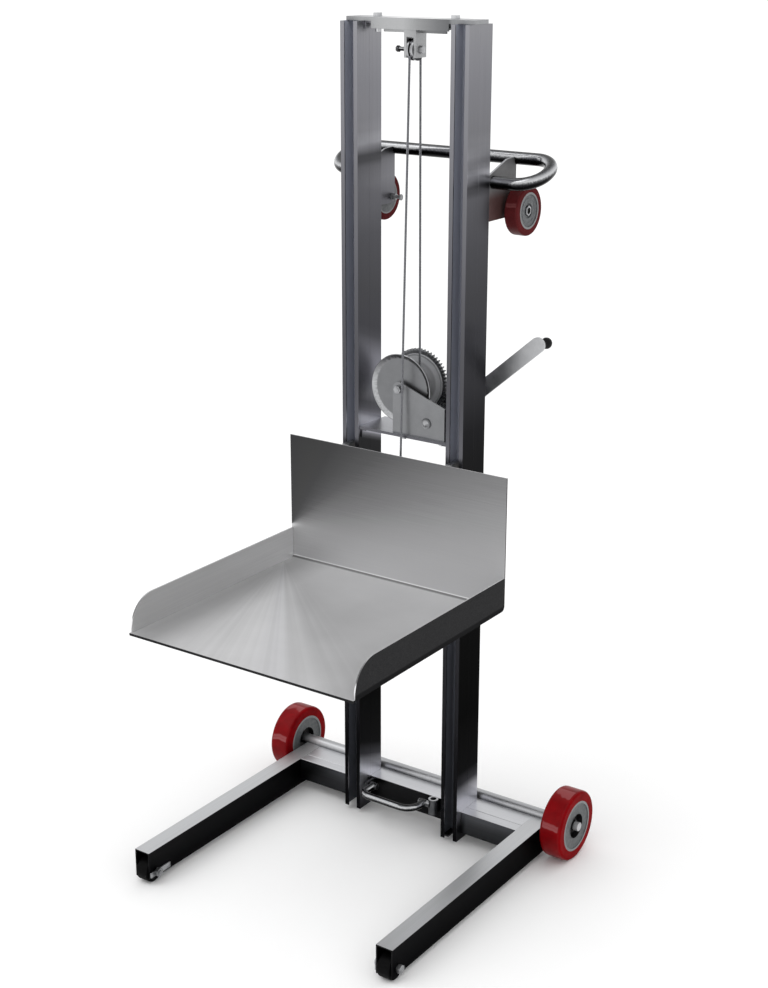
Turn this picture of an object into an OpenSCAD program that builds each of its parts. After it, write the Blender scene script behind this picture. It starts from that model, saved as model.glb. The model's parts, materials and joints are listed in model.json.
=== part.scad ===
// Hand pallet stacker: a hand winch lifts a sheet metal tray on a two column mast with a wheeled base.
// Millimetres. X is across, -Y is the tray side, Z is up. The floor is Z = 0.
// Lengths along Y are first measured from the rear axle and at_axle() moves them into the part's frame.

/* [Base] */
// Width over the outer faces of the two legs
base_w = 648; // [600:2:720]
// Distance from the rear axle forward to the front end of the legs
leg_reach = 604; // [500:2:700]
// Width of a leg tube
leg_w = 38; // [36:0.5:44]
// Height of a leg tube
leg_h = 63; // [58:0.5:66]
// Wall of the leg tubes
leg_wall = 3; // [2:0.1:4]
// Gap between the floor and the underside of the legs
leg_ground = 12; // [8:0.5:16]
// Depth of the cross member, front to back
cross_d = 50; // [46:0.5:60]
// Height of the cross member and of the strips in front of it
cross_h = 51; // [44:0.5:56]
// Wall of the cross member
cross_wall = 3; // [2:0.1:4]
// Depth of the two strips in front of the cross member
strip_d = 25.4; // [20:0.2:32]

/* [Rear wheels] */
// Diameter of the rear wheels
wheel_d = 152.4; // [148:0.2:160]
// Width of the rear wheels
wheel_w = 50; // [40:0.5:56]
// Diameter of the wheel hub under the tyre
hub_d = 110; // [96:0.5:120]
// Diameter of the axle bar behind the cross member
axle_d = 25.4; // [22:0.2:30]
// Diameter of the turned axle ends that carry the wheels
stub_d = 19; // [14:0.2:20]
// Gap between a leg and the wheel beside it
wheel_gap = 10.5; // [6:0.5:16]
// Length of the axle end that stands out past the wheel
stub_out = 6.5; // [5:0.5:12]
// Diameter of the recess round the axle end
hub_recess_d = 48; // [36:0.5:60]
// Depth of the hub's recesses
hub_recess_t = 12; // [8:0.5:16]

/* [Front rollers] */
// Diameter of the front rollers
roller_d = 50.8; // [46:0.2:53]
// Width of the front rollers
roller_w = 28; // [20:0.5:29]
// Distance from the front end of a leg back to the roller axle
roller_back = 20; // [16:0.5:26]
// Diameter of the roller bolts
roller_bolt_d = 10; // [8:0.5:12]
// Length of the keeper plates on the roller bolts
keeper_len = 60; // [40:1:90]

/* [Mast] */
// Height of the column tops above the floor
mast_h = 1717; // [1660:5:1900]
// Gap between the inner faces of the columns
mast_gap = 215; // [214:1:230]
// Width of a column, rail and tube alike
column_w = 41; // [40:0.5:45]
// Depth of a rail, front to back
rail_d = 41.3; // [38:0.1:46]
// Wall of the rails
rail_wall = 2.7; // [2:0.1:3.2]
// Width of the lips that half close the front of a rail
rail_lip = 9.5; // [8:0.1:11]
// Gap between the floor and the foot of the rails
rail_ground = 8.5; // [6:0.5:12]
// Depth of the square tube behind a rail
tube_d = 41.3; // [38:0.1:44]
// Wall of the square tubes
tube_wall = 3; // [2:0.1:4]

/* [Top bridge] */
// Thickness of the bridge over the column tops
bridge_t = 8; // [4:0.5:10]
// Depth of the bridge, front to back
bridge_d = 48; // [44:0.5:54]
// Distance from the rear axle forward to the middle of the bridge
bridge_y = 60; // [58:0.5:62]
// Height of the bridge's front flange under the column tops
bridge_drop = 14; // [8:0.5:18]
// Distance between the two bridge bolts
bridge_bolt_gap = 179; // [170:1:184]
// Diameter of the bridge bolts
bridge_bolt_d = 10; // [8:0.5:12]

/* [Pulley] */
// Width of the pulley clevis
clevis_w = 28; // [26:0.5:34]
// Height of the pulley clevis under the bridge
clevis_h = 66; // [58:0.5:72]
// Width of the slot in the clevis
clevis_slot = 16; // [12:0.5:18]
// Radius at which the cable runs on the sheave
sheave_r = 18.75; // [15:0.25:20]
// Height of the sheave's axis above the clevis's lower end
sheave_up = 15; // [13:0.5:18]
// Diameter of the sheave bolt
sheave_bolt_d = 8; // [6:0.5:10]

/* [Cable] */
// Diameter of the lifting cable
cable_d = 5; // [4:0.25:6]

/* [Handle] */
// Diameter of the handle tube
handle_d = 25.4; // [20:0.2:30]
// Wall of the handle tube
handle_wall = 2; // [1.5:0.1:3]
// Half the length of the handle loop, to its centre line
handle_half = 243; // [230:1:280]
// Bend radius of the handle tube's centre line
handle_bend = 48; // [40:1:49]
// Distance between the front and rear bars of the handle loop
handle_span = 100; // [98:0.2:120]
// Slope of the handle loop, rising to the rear, in degrees
handle_tilt = 21.8; // [8:0.1:26]
// Height of the front bar of the handle
handle_z = 1418; // [1400:0.5:1440]

/* [Upper wheels] */
// Diameter of the upper wheels
upper_d = 100; // [90:1:104]
// Width of the upper wheels
upper_w = 29.6; // [24:0.2:34]
// Diameter of the hub of an upper wheel
upper_hub_d = 73; // [60:0.5:80]
// Distance from the rear axle back to the upper wheel axle
upper_y = 70.4; // [66:0.2:76]
// Height of the upper wheel axle
upper_z = 1355.7; // [1350:0.1:1362]
// Gap between a gusset plate and the wheel beside it
upper_gap = 8; // [6:0.5:12]
// Thickness of the gusset plates
gusset_t = 5; // [4:0.2:6]
// Diameter of the upper axle bolts
upper_bolt_d = 12; // [8:0.5:14]

/* [Winch] */
// Height of the top face of the winch shelf
shelf_z = 903.5; // [895:0.5:920]
// Thickness of the winch shelf
shelf_t = 6; // [4:0.5:8]
// Distance from the rear axle forward to the front face of the winch frame
winch_front = 96; // [93:0.5:98]
// Thickness of the winch frame's plate
cheek_t = 3.5; // [2.5:0.1:4]
// Distance of the drum axis to the left of the middle
drum_left = 12; // [8:0.5:16]
// Radius of the front drum flange
drum_flange_r = 72; // [66:0.5:74]
// Radius of the rear drum flange
drum_back_r = 60; // [50:0.5:62]
// Radius of the bare drum barrel
barrel_r = 24.7; // [20:0.1:28]
// Width of the drum between its flanges
drum_w = 60.5; // [56:0.5:62]
// Thickness of the drum flanges
flange_t = 3.25; // [2.5:0.05:3.5]
// Diameter of the drum shaft
drum_shaft_d = 10; // [8:0.5:12]
// Module of the winch gears
gear_m = 2.5; // [2.4:0.05:2.55]
// Teeth of the drum gear
gear_teeth = 54; // [50:1:55]
// Teeth of the pinion
pinion_teeth = 19; // [17:1:20]
// Width of the drum gear
gear_w = 8; // [6:0.5:9]
// Diameter of the pinion shaft
pinion_shaft_d = 16; // [12:0.5:18]
// Outer radius of the ratchet wheel
ratchet_r = 22; // [20:0.5:23]
// Turns of cable on the drum at rest
wraps = 5; // [3:1:5]
// Spacing of the turns of cable along the drum
wrap_pitch = 5.5; // [5.45:0.01:5.5]

/* [Crank] */
// Length of the crank, axis to the centre of its rounded end
crank_len = 260; // [200:1:280]
// Width of the crank's flat bar
crank_w = 31.3; // [26:0.1:36]
// Thickness of the crank's flat bar
crank_t = 6; // [4:0.2:8]
// Angle of the crank above the horizontal at rest, in degrees
crank_angle = 40.9; // [20:0.1:60]
// Distance of the grip inboard of the crank's rounded end
grip_inset = 10; // [6:0.5:14]
// Diameter of the grip's ball end
grip_ball_d = 23.5; // [18:0.5:28]
// Distance from the crank to the centre of the ball end
grip_len = 45; // [38:0.5:60]
// Diameter of the pin inside the grip
grip_pin_d = 6; // [5:0.1:7]

/* [Tray] */
// Width of the tray
tray_w = 536; // [460:2:560]
// Depth of the tray, back plate to front edge
tray_depth = 517; // [430:2:540]
// Height of the tray's load face at rest
tray_z = 589; // [560:1:620]
// Thickness of the tray's sheet
sheet_t = 3; // [2:0.1:4]
// Height of the side walls above the load face
wall_h = 67.6; // [50:0.2:90]
// Radius of the side walls' upper front corners
wall_round = 62; // [40:1:64]
// Height of the back plate above the load face
back_h = 277; // [230:1:285]
// Outer radius of the bend between the load face and the back plate
bend_r = 10; // [6:0.5:14]
// Gap between the rails and the front face of the back plate
tray_stand = 26; // [24:0.5:30]

/* [Carriage] */
// Thickness of the two carriage arms
arm_t = 9.5; // [8:0.1:11]
// Width of a carriage roller
guide_w = 10; // [8:0.1:10.5]
// Diameter of the carriage roller pins
guide_pin_d = 10; // [8:0.5:12]
// Height of the carriage cross bar
bar_h = 80; // [60:1:100]
// Height of the cross bar's top above the load face
bar_rise = 191; // [150:1:220]
// Thickness of the carriage cross bar
bar_t = 10; // [6:0.5:10]

/* [Foot bail] */
// Diameter of the foot bail's rod
bail_d = 16; // [12:0.5:18]
// Distance of the bail's pivot axis in front of the cross member
bail_out = 19.3; // [18:0.1:22]
// Length of the bail, pivot axis to the middle of its front rod
bail_len = 46; // [36:0.5:48]
// Height of the bail's pivot axis
bail_z = 64; // [56:0.5:66]
// Diameter of the bail's pivot bolts
bail_bolt_d = 8; // [6:0.5:10]
// Outer diameter of the upright sleeve
sleeve_d = 22; // [20:0.5:24]
// Bore of the upright sleeve
sleeve_bore = 13.5; // [10:0.5:15]
// Height of the upright sleeve
sleeve_h = 36; // [30:0.5:46]

/* [Hidden] */
$fn = 64;

// Clearances that every fit is made from
run_gap = 0.08;
bolt_gap = 0.3;
seat_gap = 0.3;
weld_gap = 0.02;
side_gap = 0.5;
wrap_clear = 0.3;

// Sizes of nuts as shares of the bolt they sit on
nut_ratio = 1.7;
nut_height_ratio = 0.8;

// Heights and distances worked out from the sizes above
axle_z = wheel_d / 2;
leg_top = leg_ground + leg_h;
cross_z = leg_top - cross_h;
leg_in = base_w / 2 - leg_w;
cross_back = axle_d / 2 + weld_gap;
cross_front = cross_back + cross_d;
mast_front = cross_front + rail_d;
tube_back = cross_front - tube_d;
rail_in = mast_gap / 2;
rail_mid = rail_in + column_w / 2;
rail_out = rail_in + column_w;
handle_y = tube_back - handle_d / 2;
wheel_in = base_w / 2 + wheel_gap;
wheel_out = wheel_in + wheel_w;
back_y = mast_front + tray_stand;
tray_front = back_y + tray_depth;
rear_reach = upper_y + upper_d / 2;
axle_y = (tray_front - rear_reach) / 2;
bridge_front = bridge_y + bridge_d / 2;
bridge_back = bridge_y - bridge_d / 2;
bridge_bolt_x = bridge_bolt_gap / 2;
bridge_flange_half = bridge_bolt_x;
sheave_z = mast_h - clevis_h + sheave_up;
sheave_y = bridge_y + 2.75;
sheave_groove_r = sheave_r - cable_d / 2;
sheave_rim_r = sheave_r + 2.2;
cheek_gap = 1.5;
drum_front = winch_front - cheek_t - cheek_gap;
drum_back = drum_front - 2 * flange_t - drum_w;
gear_back = drum_back - gear_w;
gear_gap = 3.5;
cheek_back_front = gear_back - gear_gap;
winch_back = cheek_back_front - cheek_t;
gear_r = gear_m * gear_teeth / 2;
pinion_r = gear_m * pinion_teeth / 2;
pinion_clear = 1.3;
mesh_angle = -42.76;
drum_x = -drum_left;
pinion_x = drum_x + (gear_r + pinion_r) * cos(mesh_angle);
pinion_z = shelf_z + cheek_t + pinion_clear + pinion_r + gear_m;
drum_z = pinion_z - (gear_r + pinion_r) * sin(mesh_angle);
wrap_r = barrel_r + wrap_clear + cable_d / 2;
wrap_start = 3.3;
wrap_lead_y = drum_back + flange_t + wrap_start + wraps * wrap_pitch + cable_d / 2;
ratchet_t = 4;
brake_t = 1.5;
crank_bore_r = pinion_shaft_d * 0.375;
crank_front = -(winch_back - seat_gap - ratchet_t - 2 * brake_t - 3.5);
grip_x = pinion_x + (crank_len - grip_inset) * cos(crank_angle);
grip_z = pinion_z + (crank_len - grip_inset) * sin(crank_angle);
arm_bottom = tray_z - sheet_t + 6;
arm_top = tray_z + back_h + 2;
arm_back = mast_front - rail_d / 2 - guide_pin_d / 2 - 3;
guide_y = mast_front - rail_d / 2;
guide_r = rail_d / 2 - rail_wall - 0.4;
guide_up_z = arm_top - 25;
guide_low_z = arm_bottom + 25;
bar_top = tray_z + bar_rise;
ledge_d = 19;
anchor_x = 4;
anchor_y = back_y - sheet_t - ledge_d + 5.5;
anchor_len = 25;
anchor_top = bar_top + anchor_len;
cable_top_z = sheave_z - 11;
bail_y = cross_front + bail_out;
bail_left = -87;
bail_right = 48;
sleeve_x = 69.7;
sleeve_y = cross_front + sleeve_d / 2 + 1.6;
sleeve_top = leg_top + 2;
angle_t = 4;
ear_t = 5;
winch_bolt_d = 8;
winch_bolt_left = 62;
winch_bolt_right = 29;
winch_bolt_front = 14;
winch_bolt_rear = 22;
winch_bolt_places = [
  for (x = [pinion_x - winch_bolt_left, pinion_x + winch_bolt_right])
    for (y = [-winch_front + winch_bolt_front, -winch_back - winch_bolt_rear])
      [x, y]
];
cheek_boss_r = 15;
cheek_right = 44;
cheek_h = 67;
sheave_bolt_tail = 28;

// Moves a shape drawn from the rear axle into the part's frame
module at_axle() {
  translate([0, axle_y, 0])
    children();
}

// A box between two corners
module box(a, b) {
  translate(a)
    cube(b - a);
}

// A round bar along X
module rod_x(r, x0, x1, y, z) {
  translate([x0, y, z])
    rotate([0, 90, 0])
      cylinder(r = r, h = x1 - x0);
}

// A round bar along Y
module rod_y(r, y0, y1, x, z) {
  translate([x, y0, z])
    rotate([-90, 0, 0])
      cylinder(r = r, h = y1 - y0);
}

// Hexagons across their flats, along X, Y and Z
module hex_x(flats, x0, x1, y, z) {
  translate([x0, y, z])
    rotate([0, 90, 0])
      cylinder(r = flats / sqrt(3), h = x1 - x0, $fn = 6);
}

module hex_y(flats, y0, y1, x, z) {
  translate([x, y0, z])
    rotate([-90, 0, 0])
      cylinder(r = flats / sqrt(3), h = y1 - y0, $fn = 6);
}

module hex_z(flats, z0, z1, x, y) {
  translate([x, y, z0])
    cylinder(r = flats / sqrt(3), h = z1 - z0, $fn = 6);
}

// Extrudes an outline of [y, z] points along X
module slab_x(x0, x1) {
  translate([x0, 0, 0])
    rotate([90, 0, 90])
      linear_extrude(x1 - x0)
        children();
}

// Extrudes an outline of [x, z] points along Y
module slab_y(y0, y1) {
  translate([0, y1, 0])
    rotate([90, 0, 0])
      linear_extrude(y1 - y0)
        children();
}

// Turns an outline of [radius, x] points about an axis along X
module turned_x(y, z) {
  translate([0, y, z])
    rotate([0, 90, 0])
      rotate_extrude()
        children();
}

// Turns an outline of [radius, y] points about an axis along Y
module turned_y(x, z) {
  translate([x, 0, z])
    rotate([-90, 0, 0])
      rotate_extrude()
        children();
}

// A copy on the left of what is drawn on the right
module both_sides() {
  children();
  mirror([1, 0, 0])
    children();
}

// Points on an arc
function arc(c, r, a0, a1, n) =
  [for (i = [0:n]) c + r * [cos(a0 + (a1 - a0) * i / n), sin(a0 + (a1 - a0) * i / n)]];

// Outline of half a wheel's section: flat tread with rounded shoulders, x from x0 to x1
function tyre_outline(r0, r1, x0, x1, round_r) = concat(
  [[r0, x0]],
  arc([r1 - round_r, x0 + round_r], round_r, -90, 0, 4),
  arc([r1 - round_r, x1 - round_r], round_r, 0, 90, 4),
  [[r0, x1]]
);

// Base

module leg() {
  roller_bay = roller_back + roller_d / 2 + 6;
  difference() {
    box([leg_in, -leg_reach, leg_ground], [leg_in + leg_w, -cross_back, leg_top]);
    box([leg_in + leg_wall, -leg_reach - 1, leg_ground + leg_wall],
        [leg_in + leg_w - leg_wall, -cross_back + 1, leg_top - leg_wall]);
    box([leg_in + leg_wall, -leg_reach - 1, leg_ground - 1],
        [leg_in + leg_w - leg_wall, -leg_reach + roller_bay, leg_ground + leg_wall + 1]);
    rod_x(roller_bolt_d / 2 + bolt_gap, leg_in - 1, leg_in + leg_w + 1, -leg_reach + roller_back, roller_d / 2);
  }
}

module left_leg() {
  color("#8f8f91") at_axle() mirror([1, 0, 0]) leg();
}

module right_leg() {
  color("#8f8f91") at_axle() leg();
}

// Square tube between the legs that carries the mast
module cross_member() {
  color("#a9a9ac") at_axle()
    difference() {
      box([-leg_in, -cross_front, cross_z], [leg_in, -cross_back, leg_top]);
      box([-leg_in - 1, -cross_front + cross_wall, cross_z + cross_wall],
          [leg_in + 1, -cross_back - cross_wall, leg_top - cross_wall]);
    }
}

// Two flat tubes in front of the cross member, from the rails to the legs
module front_strips() {
  color("#949496") at_axle()
    both_sides()
      difference() {
        box([rail_out, -cross_front - strip_d, cross_z], [leg_in, -cross_front, leg_top]);
        box([rail_out - 1, -cross_front - strip_d + cross_wall, cross_z + cross_wall],
            [leg_in + 1, -cross_front - cross_wall, leg_top - cross_wall]);
      }
}

// Grooved bar across the back of the base, the axle bar is welded into its groove
module axle_saddle() {
  saddle_top = axle_z - axle_d / 2 + 5;
  saddle_h = 24;
  color("#7d7d80") at_axle()
    difference() {
      box([-base_w / 2, -cross_back + weld_gap, saddle_top - saddle_h], [base_w / 2, 8, saddle_top]);
      rod_x(axle_d / 2 + weld_gap, -base_w / 2 - 1, base_w / 2 + 1, 0, axle_z);
    }
}

module rear_axle() {
  stub_end = wheel_out + stub_out;
  shoulder = wheel_in + hub_recess_t - seat_gap;
  color("#b9babd") at_axle() {
    rod_x(axle_d / 2, -shoulder, shoulder, 0, axle_z);
    rod_x(stub_d / 2, -stub_end, stub_end, 0, axle_z);
  }
}

// Washer and push-on collar that keep each wheel on its axle end
module axle_washers() {
  bearing_out = wheel_out - hub_recess_t;
  color("#c4c5c8") at_axle()
    both_sides() {
      difference() {
        rod_x(stub_d / 2 + 5, bearing_out + seat_gap, bearing_out + seat_gap + 3, 0, axle_z);
        rod_x(stub_d / 2 + weld_gap, wheel_in, wheel_out, 0, axle_z);
      }
      difference() {
        rod_x(stub_d / 2 + 2.5, bearing_out + seat_gap + 3, wheel_out - 4, 0, axle_z);
        rod_x(stub_d / 2 + weld_gap, wheel_in, wheel_out, 0, axle_z);
      }
    }
}

// Roller bolts, each with a long keeper plate under the nut on the leg's inner face
module front_roller_bolts() {
  out = leg_in + leg_w;
  nut_t = roller_bolt_d * nut_height_ratio;
  keeper = [3, keeper_len, 12];
  y = -leg_reach + roller_back;
  keeper_y = -leg_reach + 1;
  keeper_z = roller_d / 2 - 2;
  z = roller_d / 2;
  color("#c2c3c6") at_axle()
    both_sides() {
      rod_x(roller_bolt_d / 2, leg_in - keeper[0] - nut_t - 2, out + 1, y, z);
      hex_x(roller_bolt_d * nut_ratio, out, out + nut_t, y, z);
      hex_x(roller_bolt_d * nut_ratio, leg_in - keeper[0] - nut_t, leg_in - keeper[0], y, z);
      box([leg_in - keeper[0], keeper_y, keeper_z - keeper[2] / 2],
          [leg_in, keeper_y + keeper[1], keeper_z + keeper[2] / 2]);
    }
}

// Rear wheels

module rear_tyre() {
  color("#9c1218") at_axle()
    turned_x(0, axle_z)
      polygon(tyre_outline(hub_d / 2, wheel_d / 2, wheel_in, wheel_out, 7));
}

// Hub, each face has a shallow web and a deep recess round the axle
module rear_hub() {
  bore_r = stub_d / 2 + run_gap;
  recess_r = hub_recess_d / 2;
  rim_r = hub_d / 2 - 6;
  web_t = 2;
  color("#77797b") at_axle()
    turned_x(0, axle_z)
      polygon([
        [bore_r, wheel_in + hub_recess_t], [recess_r, wheel_in + hub_recess_t], [recess_r, wheel_in + 1],
        [rim_r - 2, wheel_in + web_t], [rim_r, wheel_in], [hub_d / 2, wheel_in],
        [hub_d / 2, wheel_out], [rim_r, wheel_out], [rim_r - 2, wheel_out - web_t],
        [recess_r, wheel_out - 1], [recess_r, wheel_out - hub_recess_t], [bore_r, wheel_out - hub_recess_t]
      ]);
}

module left_rear_tyre() {
  mirror([1, 0, 0]) rear_tyre();
}

module right_rear_tyre() {
  rear_tyre();
}

module left_rear_hub() {
  mirror([1, 0, 0]) rear_hub();
}

module right_rear_hub() {
  rear_hub();
}

module front_roller() {
  mid = leg_in + leg_w / 2;
  color("#1f1f21") at_axle()
    turned_x(-leg_reach + roller_back, roller_d / 2)
      polygon(tyre_outline(roller_bolt_d / 2 + run_gap, roller_d / 2, mid - roller_w / 2, mid + roller_w / 2, 2));
}

module left_front_roller() {
  mirror([1, 0, 0]) front_roller();
}

module right_front_roller() {
  front_roller();
}

// Mast

// Lipped channel, open to the front, that the carriage rollers run in
module rail() {
  difference() {
    box([rail_in, -mast_front, rail_ground], [rail_out, -cross_front, mast_h]);
    box([rail_in + rail_wall, -mast_front + rail_wall, rail_ground - 1],
        [rail_out - rail_wall, -cross_front - rail_wall, mast_h + 1]);
    box([rail_in + rail_lip, -mast_front - 1, rail_ground - 1],
        [rail_out - rail_lip, -mast_front + rail_wall + 1, mast_h + 1]);
  }
}

module left_rail() {
  color("#85868b") at_axle() mirror([1, 0, 0]) rail();
}

module right_rail() {
  color("#85868b") at_axle() rail();
}

module mast_tube() {
  difference() {
    box([rail_in, -cross_front, leg_top], [rail_out, -tube_back, mast_h]);
    box([rail_in + tube_wall, -cross_front + tube_wall, leg_top - 1],
        [rail_out - tube_wall, -tube_back - tube_wall, mast_h + 1]);
  }
}

module mast_tubes() {
  color("#77787c") at_axle()
    both_sides()
      mast_tube();
}

// Small blocks at the foot of each rail that stop the carriage rollers
module rail_stops() {
  stop_h = 5;
  color("#55565a") at_axle()
    both_sides()
      box([rail_in + rail_wall, -mast_front + rail_wall + 6, rail_ground],
          [rail_in + rail_wall + 12, -cross_front - rail_wall, rail_ground + stop_h]);
}

// Channel over the column tops: its flanges hang between the columns, and a rib runs up to the clevis
module top_bridge() {
  flange_t_front = 3;
  rib_half = 72;
  rib_t = 5;
  rib_low = mast_h - bridge_drop - 6;
  color("#a3a4a6") at_axle()
    difference() {
      union() {
        box([-rail_out + 0.5, -bridge_front, mast_h], [rail_out - 0.5, -bridge_back, mast_h + bridge_t]);
        box([-bridge_flange_half, -bridge_front, mast_h - bridge_drop],
            [bridge_flange_half, -bridge_front + flange_t_front, mast_h + 1]);
        box([-bridge_flange_half, -bridge_back - flange_t_front, mast_h - bridge_drop],
            [bridge_flange_half, -bridge_back, mast_h + 1]);
        both_sides()
          box([clevis_w / 2, -sheave_y - rib_t / 2, rib_low], [rib_half, -sheave_y + rib_t / 2, mast_h + 1]);
      }
      both_sides()
        translate([bridge_bolt_x, -bridge_y, mast_h - 1])
          cylinder(r = bridge_bolt_d / 2 + bolt_gap, h = bridge_t + 2);
    }
}

// An angle on the right column's inner face: its flat leg lies under what is bolted on it
module column_angle(top, flat_len, drop, y0, y1) {
  box([rail_in - flat_len, y0, top - angle_t], [rail_in, y1, top]);
  box([rail_in - angle_t, y0, top - drop], [rail_in, y1, top - 1]);
}

// Angles on the columns' inner faces, two under the bridge and two under the winch shelf
module column_brackets() {
  flat_len = rail_in - bridge_bolt_x + 12;
  half = bridge_d / 2 - 4;
  color("#6e6f73") at_axle()
    both_sides() {
      difference() {
        column_angle(mast_h, flat_len, 14, -bridge_y - half, -bridge_y + half);
        translate([bridge_bolt_x, -bridge_y, mast_h - angle_t - 1])
          cylinder(r = bridge_bolt_d / 2 + bolt_gap, h = angle_t + 2);
      }
      column_angle(shelf_z - shelf_t, 14, 19, -mast_front + 8, -tube_back - 6);
    }
}

// A hex bolt down through plates between two heights, with its nut below
module plate_bolt(d, low, high, tail, x, y) {
  nut_h = d * nut_height_ratio;
  hex_z(d * nut_ratio, high, high + d * 0.7, x, y);
  translate([x, y, low - nut_h - tail])
    cylinder(r = d / 2, h = high + 1 - low + nut_h + tail);
  hex_z(d * nut_ratio, low - nut_h, low, x, y);
}

// Bolts of the bridge and of the winch, each with its nut
module frame_bolts() {
  color("#c9cacb") at_axle() {
    both_sides()
      plate_bolt(bridge_bolt_d, mast_h - angle_t, mast_h + bridge_t, 9, bridge_bolt_x, -bridge_y);
    for (p = winch_bolt_places)
      plate_bolt(winch_bolt_d, shelf_z - shelf_t, shelf_z + cheek_t, 2, p[0], p[1]);
  }
}

// Slotted block that holds the sheave under the bridge
module pulley_clevis() {
  clevis_d = 36;
  slot_h = sheave_up + sheave_rim_r + 3;
  low = mast_h - clevis_h;
  color("#8b8c8f") at_axle()
    difference() {
      box([-clevis_w / 2, -sheave_y - clevis_d / 2, low], [clevis_w / 2, -sheave_y + clevis_d / 2, mast_h]);
      box([-clevis_slot / 2, -sheave_y - clevis_d, low - 1], [clevis_slot / 2, -sheave_y + clevis_d, low + slot_h]);
      rod_x(sheave_bolt_d / 2 + run_gap, -clevis_w, clevis_w, -sheave_y, sheave_z);
    }
}

module sheave_bolt() {
  head_t = 5;
  nut_t = sheave_bolt_d * nut_height_ratio;
  half = clevis_w / 2;
  color("#37383b") at_axle() {
    rod_x(sheave_bolt_d / 2, -half - sheave_bolt_tail, half + 1, -sheave_y, sheave_z);
    hex_x(sheave_bolt_d * nut_ratio, half, half + head_t, -sheave_y, sheave_z);
    hex_x(sheave_bolt_d * nut_ratio, -half - nut_t, -half, -sheave_y, sheave_z);
    hex_x(sheave_bolt_d * nut_ratio * 0.8, -half - sheave_bolt_tail, -half - sheave_bolt_tail + nut_t,
          -sheave_y, sheave_z);
  }
}

module sheave() {
  half = clevis_slot / 2 - side_gap;
  bore_r = sheave_bolt_d / 2 + run_gap;
  groove = cable_d / 2 + 0.3;
  rim_r = sheave_rim_r;
  color("#2b2c2f") at_axle()
    turned_x(-sheave_y, sheave_z)
      polygon(concat(
        [[bore_r, -half], [rim_r, -half], [rim_r, -groove]],
        arc([sheave_r, 0], groove, 270, 90, 8),
        [[rim_r, groove], [rim_r, half], [bore_r, half]]
      ));
}

// Handle and upper wheels

// Centre lines of the handle tube in a flat frame, radius r: the loop's ends and its rear bar
module handle_path(r, end_x) {
  end_w = handle_span - 2 * handle_bend;
  turn_x = handle_half - handle_bend;
  rod_x(r, -turn_x, turn_x, handle_span, 0);
  both_sides() {
    rod_x(r, end_x, turn_x, 0, 0);
    translate([turn_x, handle_bend, 0])
      rotate([0, 0, -90])
        rotate_extrude(angle = 90)
          translate([handle_bend, 0])
            circle(r = r);
    rod_y(r, handle_bend, handle_bend + end_w, handle_half, 0);
    translate([turn_x, handle_span - handle_bend, 0])
      rotate_extrude(angle = 90)
        translate([handle_bend, 0])
          circle(r = r);
  }
}

// Bent tube loop, its front ends are welded to the gussets close behind the columns
module handle_tube() {
  color("#c8c9cc") at_axle()
    translate([0, -handle_y, handle_z])
      rotate([handle_tilt, 0, 0])
        difference() {
          handle_path(handle_d / 2, rail_out);
          handle_path(handle_d / 2 - handle_wall, rail_out - 1);
        }
}

// Plates behind the columns that carry the handle's rear bar and the upper wheels
module wheel_gussets() {
  bar_y = -handle_y + handle_span * cos(handle_tilt);
  bar_z = handle_z + handle_span * sin(handle_tilt);
  seat = handle_d / 2 + weld_gap;
  plate_back = upper_y + 9;
  plate_low = upper_z - 13;
  brow_y = bar_y - 40;
  color("#6a6b6d") at_axle()
    both_sides()
      difference() {
        slab_x(rail_out - gusset_t, rail_out)
          polygon([
            [-tube_back, plate_low], [plate_back, plate_low], [plate_back, bar_z - 8],
            [bar_y - seat * 0.5, bar_z + 4], [brow_y, bar_z + 2], [-tube_back, handle_z + 15]
          ]);
        rod_x(seat, rail_out - gusset_t - 1, rail_out + 1, bar_y, bar_z);
        rod_x(upper_bolt_d / 2 + bolt_gap, rail_out - gusset_t - 1, rail_out + 1, upper_y, upper_z);
      }
}

// Bolts with a shoulder, the upper wheels turn on them
module upper_axle_bolts() {
  wheel_start = rail_out + upper_gap;
  wheel_end = wheel_start + upper_w;
  nut_t = upper_bolt_d * nut_height_ratio;
  color("#c6c7ca") at_axle()
    both_sides() {
      rod_x(upper_bolt_d / 2, rail_out - gusset_t - 21, wheel_end - 3, upper_y, upper_z);
      hex_x(upper_bolt_d * 1.5, wheel_end - 6, wheel_end - 1, upper_y, upper_z);
      hex_x(upper_bolt_d * nut_ratio, rail_out - gusset_t - nut_t, rail_out - gusset_t, upper_y, upper_z);
      rod_x(upper_bolt_d / 2 + 4, rail_out, wheel_start - seat_gap, upper_y, upper_z);
    }
}

module upper_tyre() {
  x0 = rail_out + upper_gap;
  color("#5c1a1c") at_axle()
    turned_x(upper_y, upper_z)
      polygon(tyre_outline(upper_hub_d / 2, upper_d / 2, x0, x0 + upper_w, 4));
}

module upper_hub() {
  x0 = rail_out + upper_gap;
  x1 = x0 + upper_w;
  hub_r = upper_hub_d / 2;
  bore_r = upper_bolt_d / 2 + run_gap;
  recess_r = upper_bolt_d + 2;
  color("#808284") at_axle()
    turned_x(upper_y, upper_z)
      polygon([
        [bore_r, x0], [hub_r, x0], [hub_r, x1], [hub_r - 4, x1], [hub_r - 6, x1 - 3],
        [recess_r, x1 - 3], [recess_r - 1, x1 - 6 - seat_gap], [bore_r, x1 - 6 - seat_gap]
      ]);
}

module left_upper_tyre() {
  mirror([1, 0, 0]) upper_tyre();
}

module left_upper_hub() {
  mirror([1, 0, 0]) upper_hub();
}

module right_upper_tyre() {
  upper_tyre();
}

module right_upper_hub() {
  upper_hub();
}

// Winch

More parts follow.
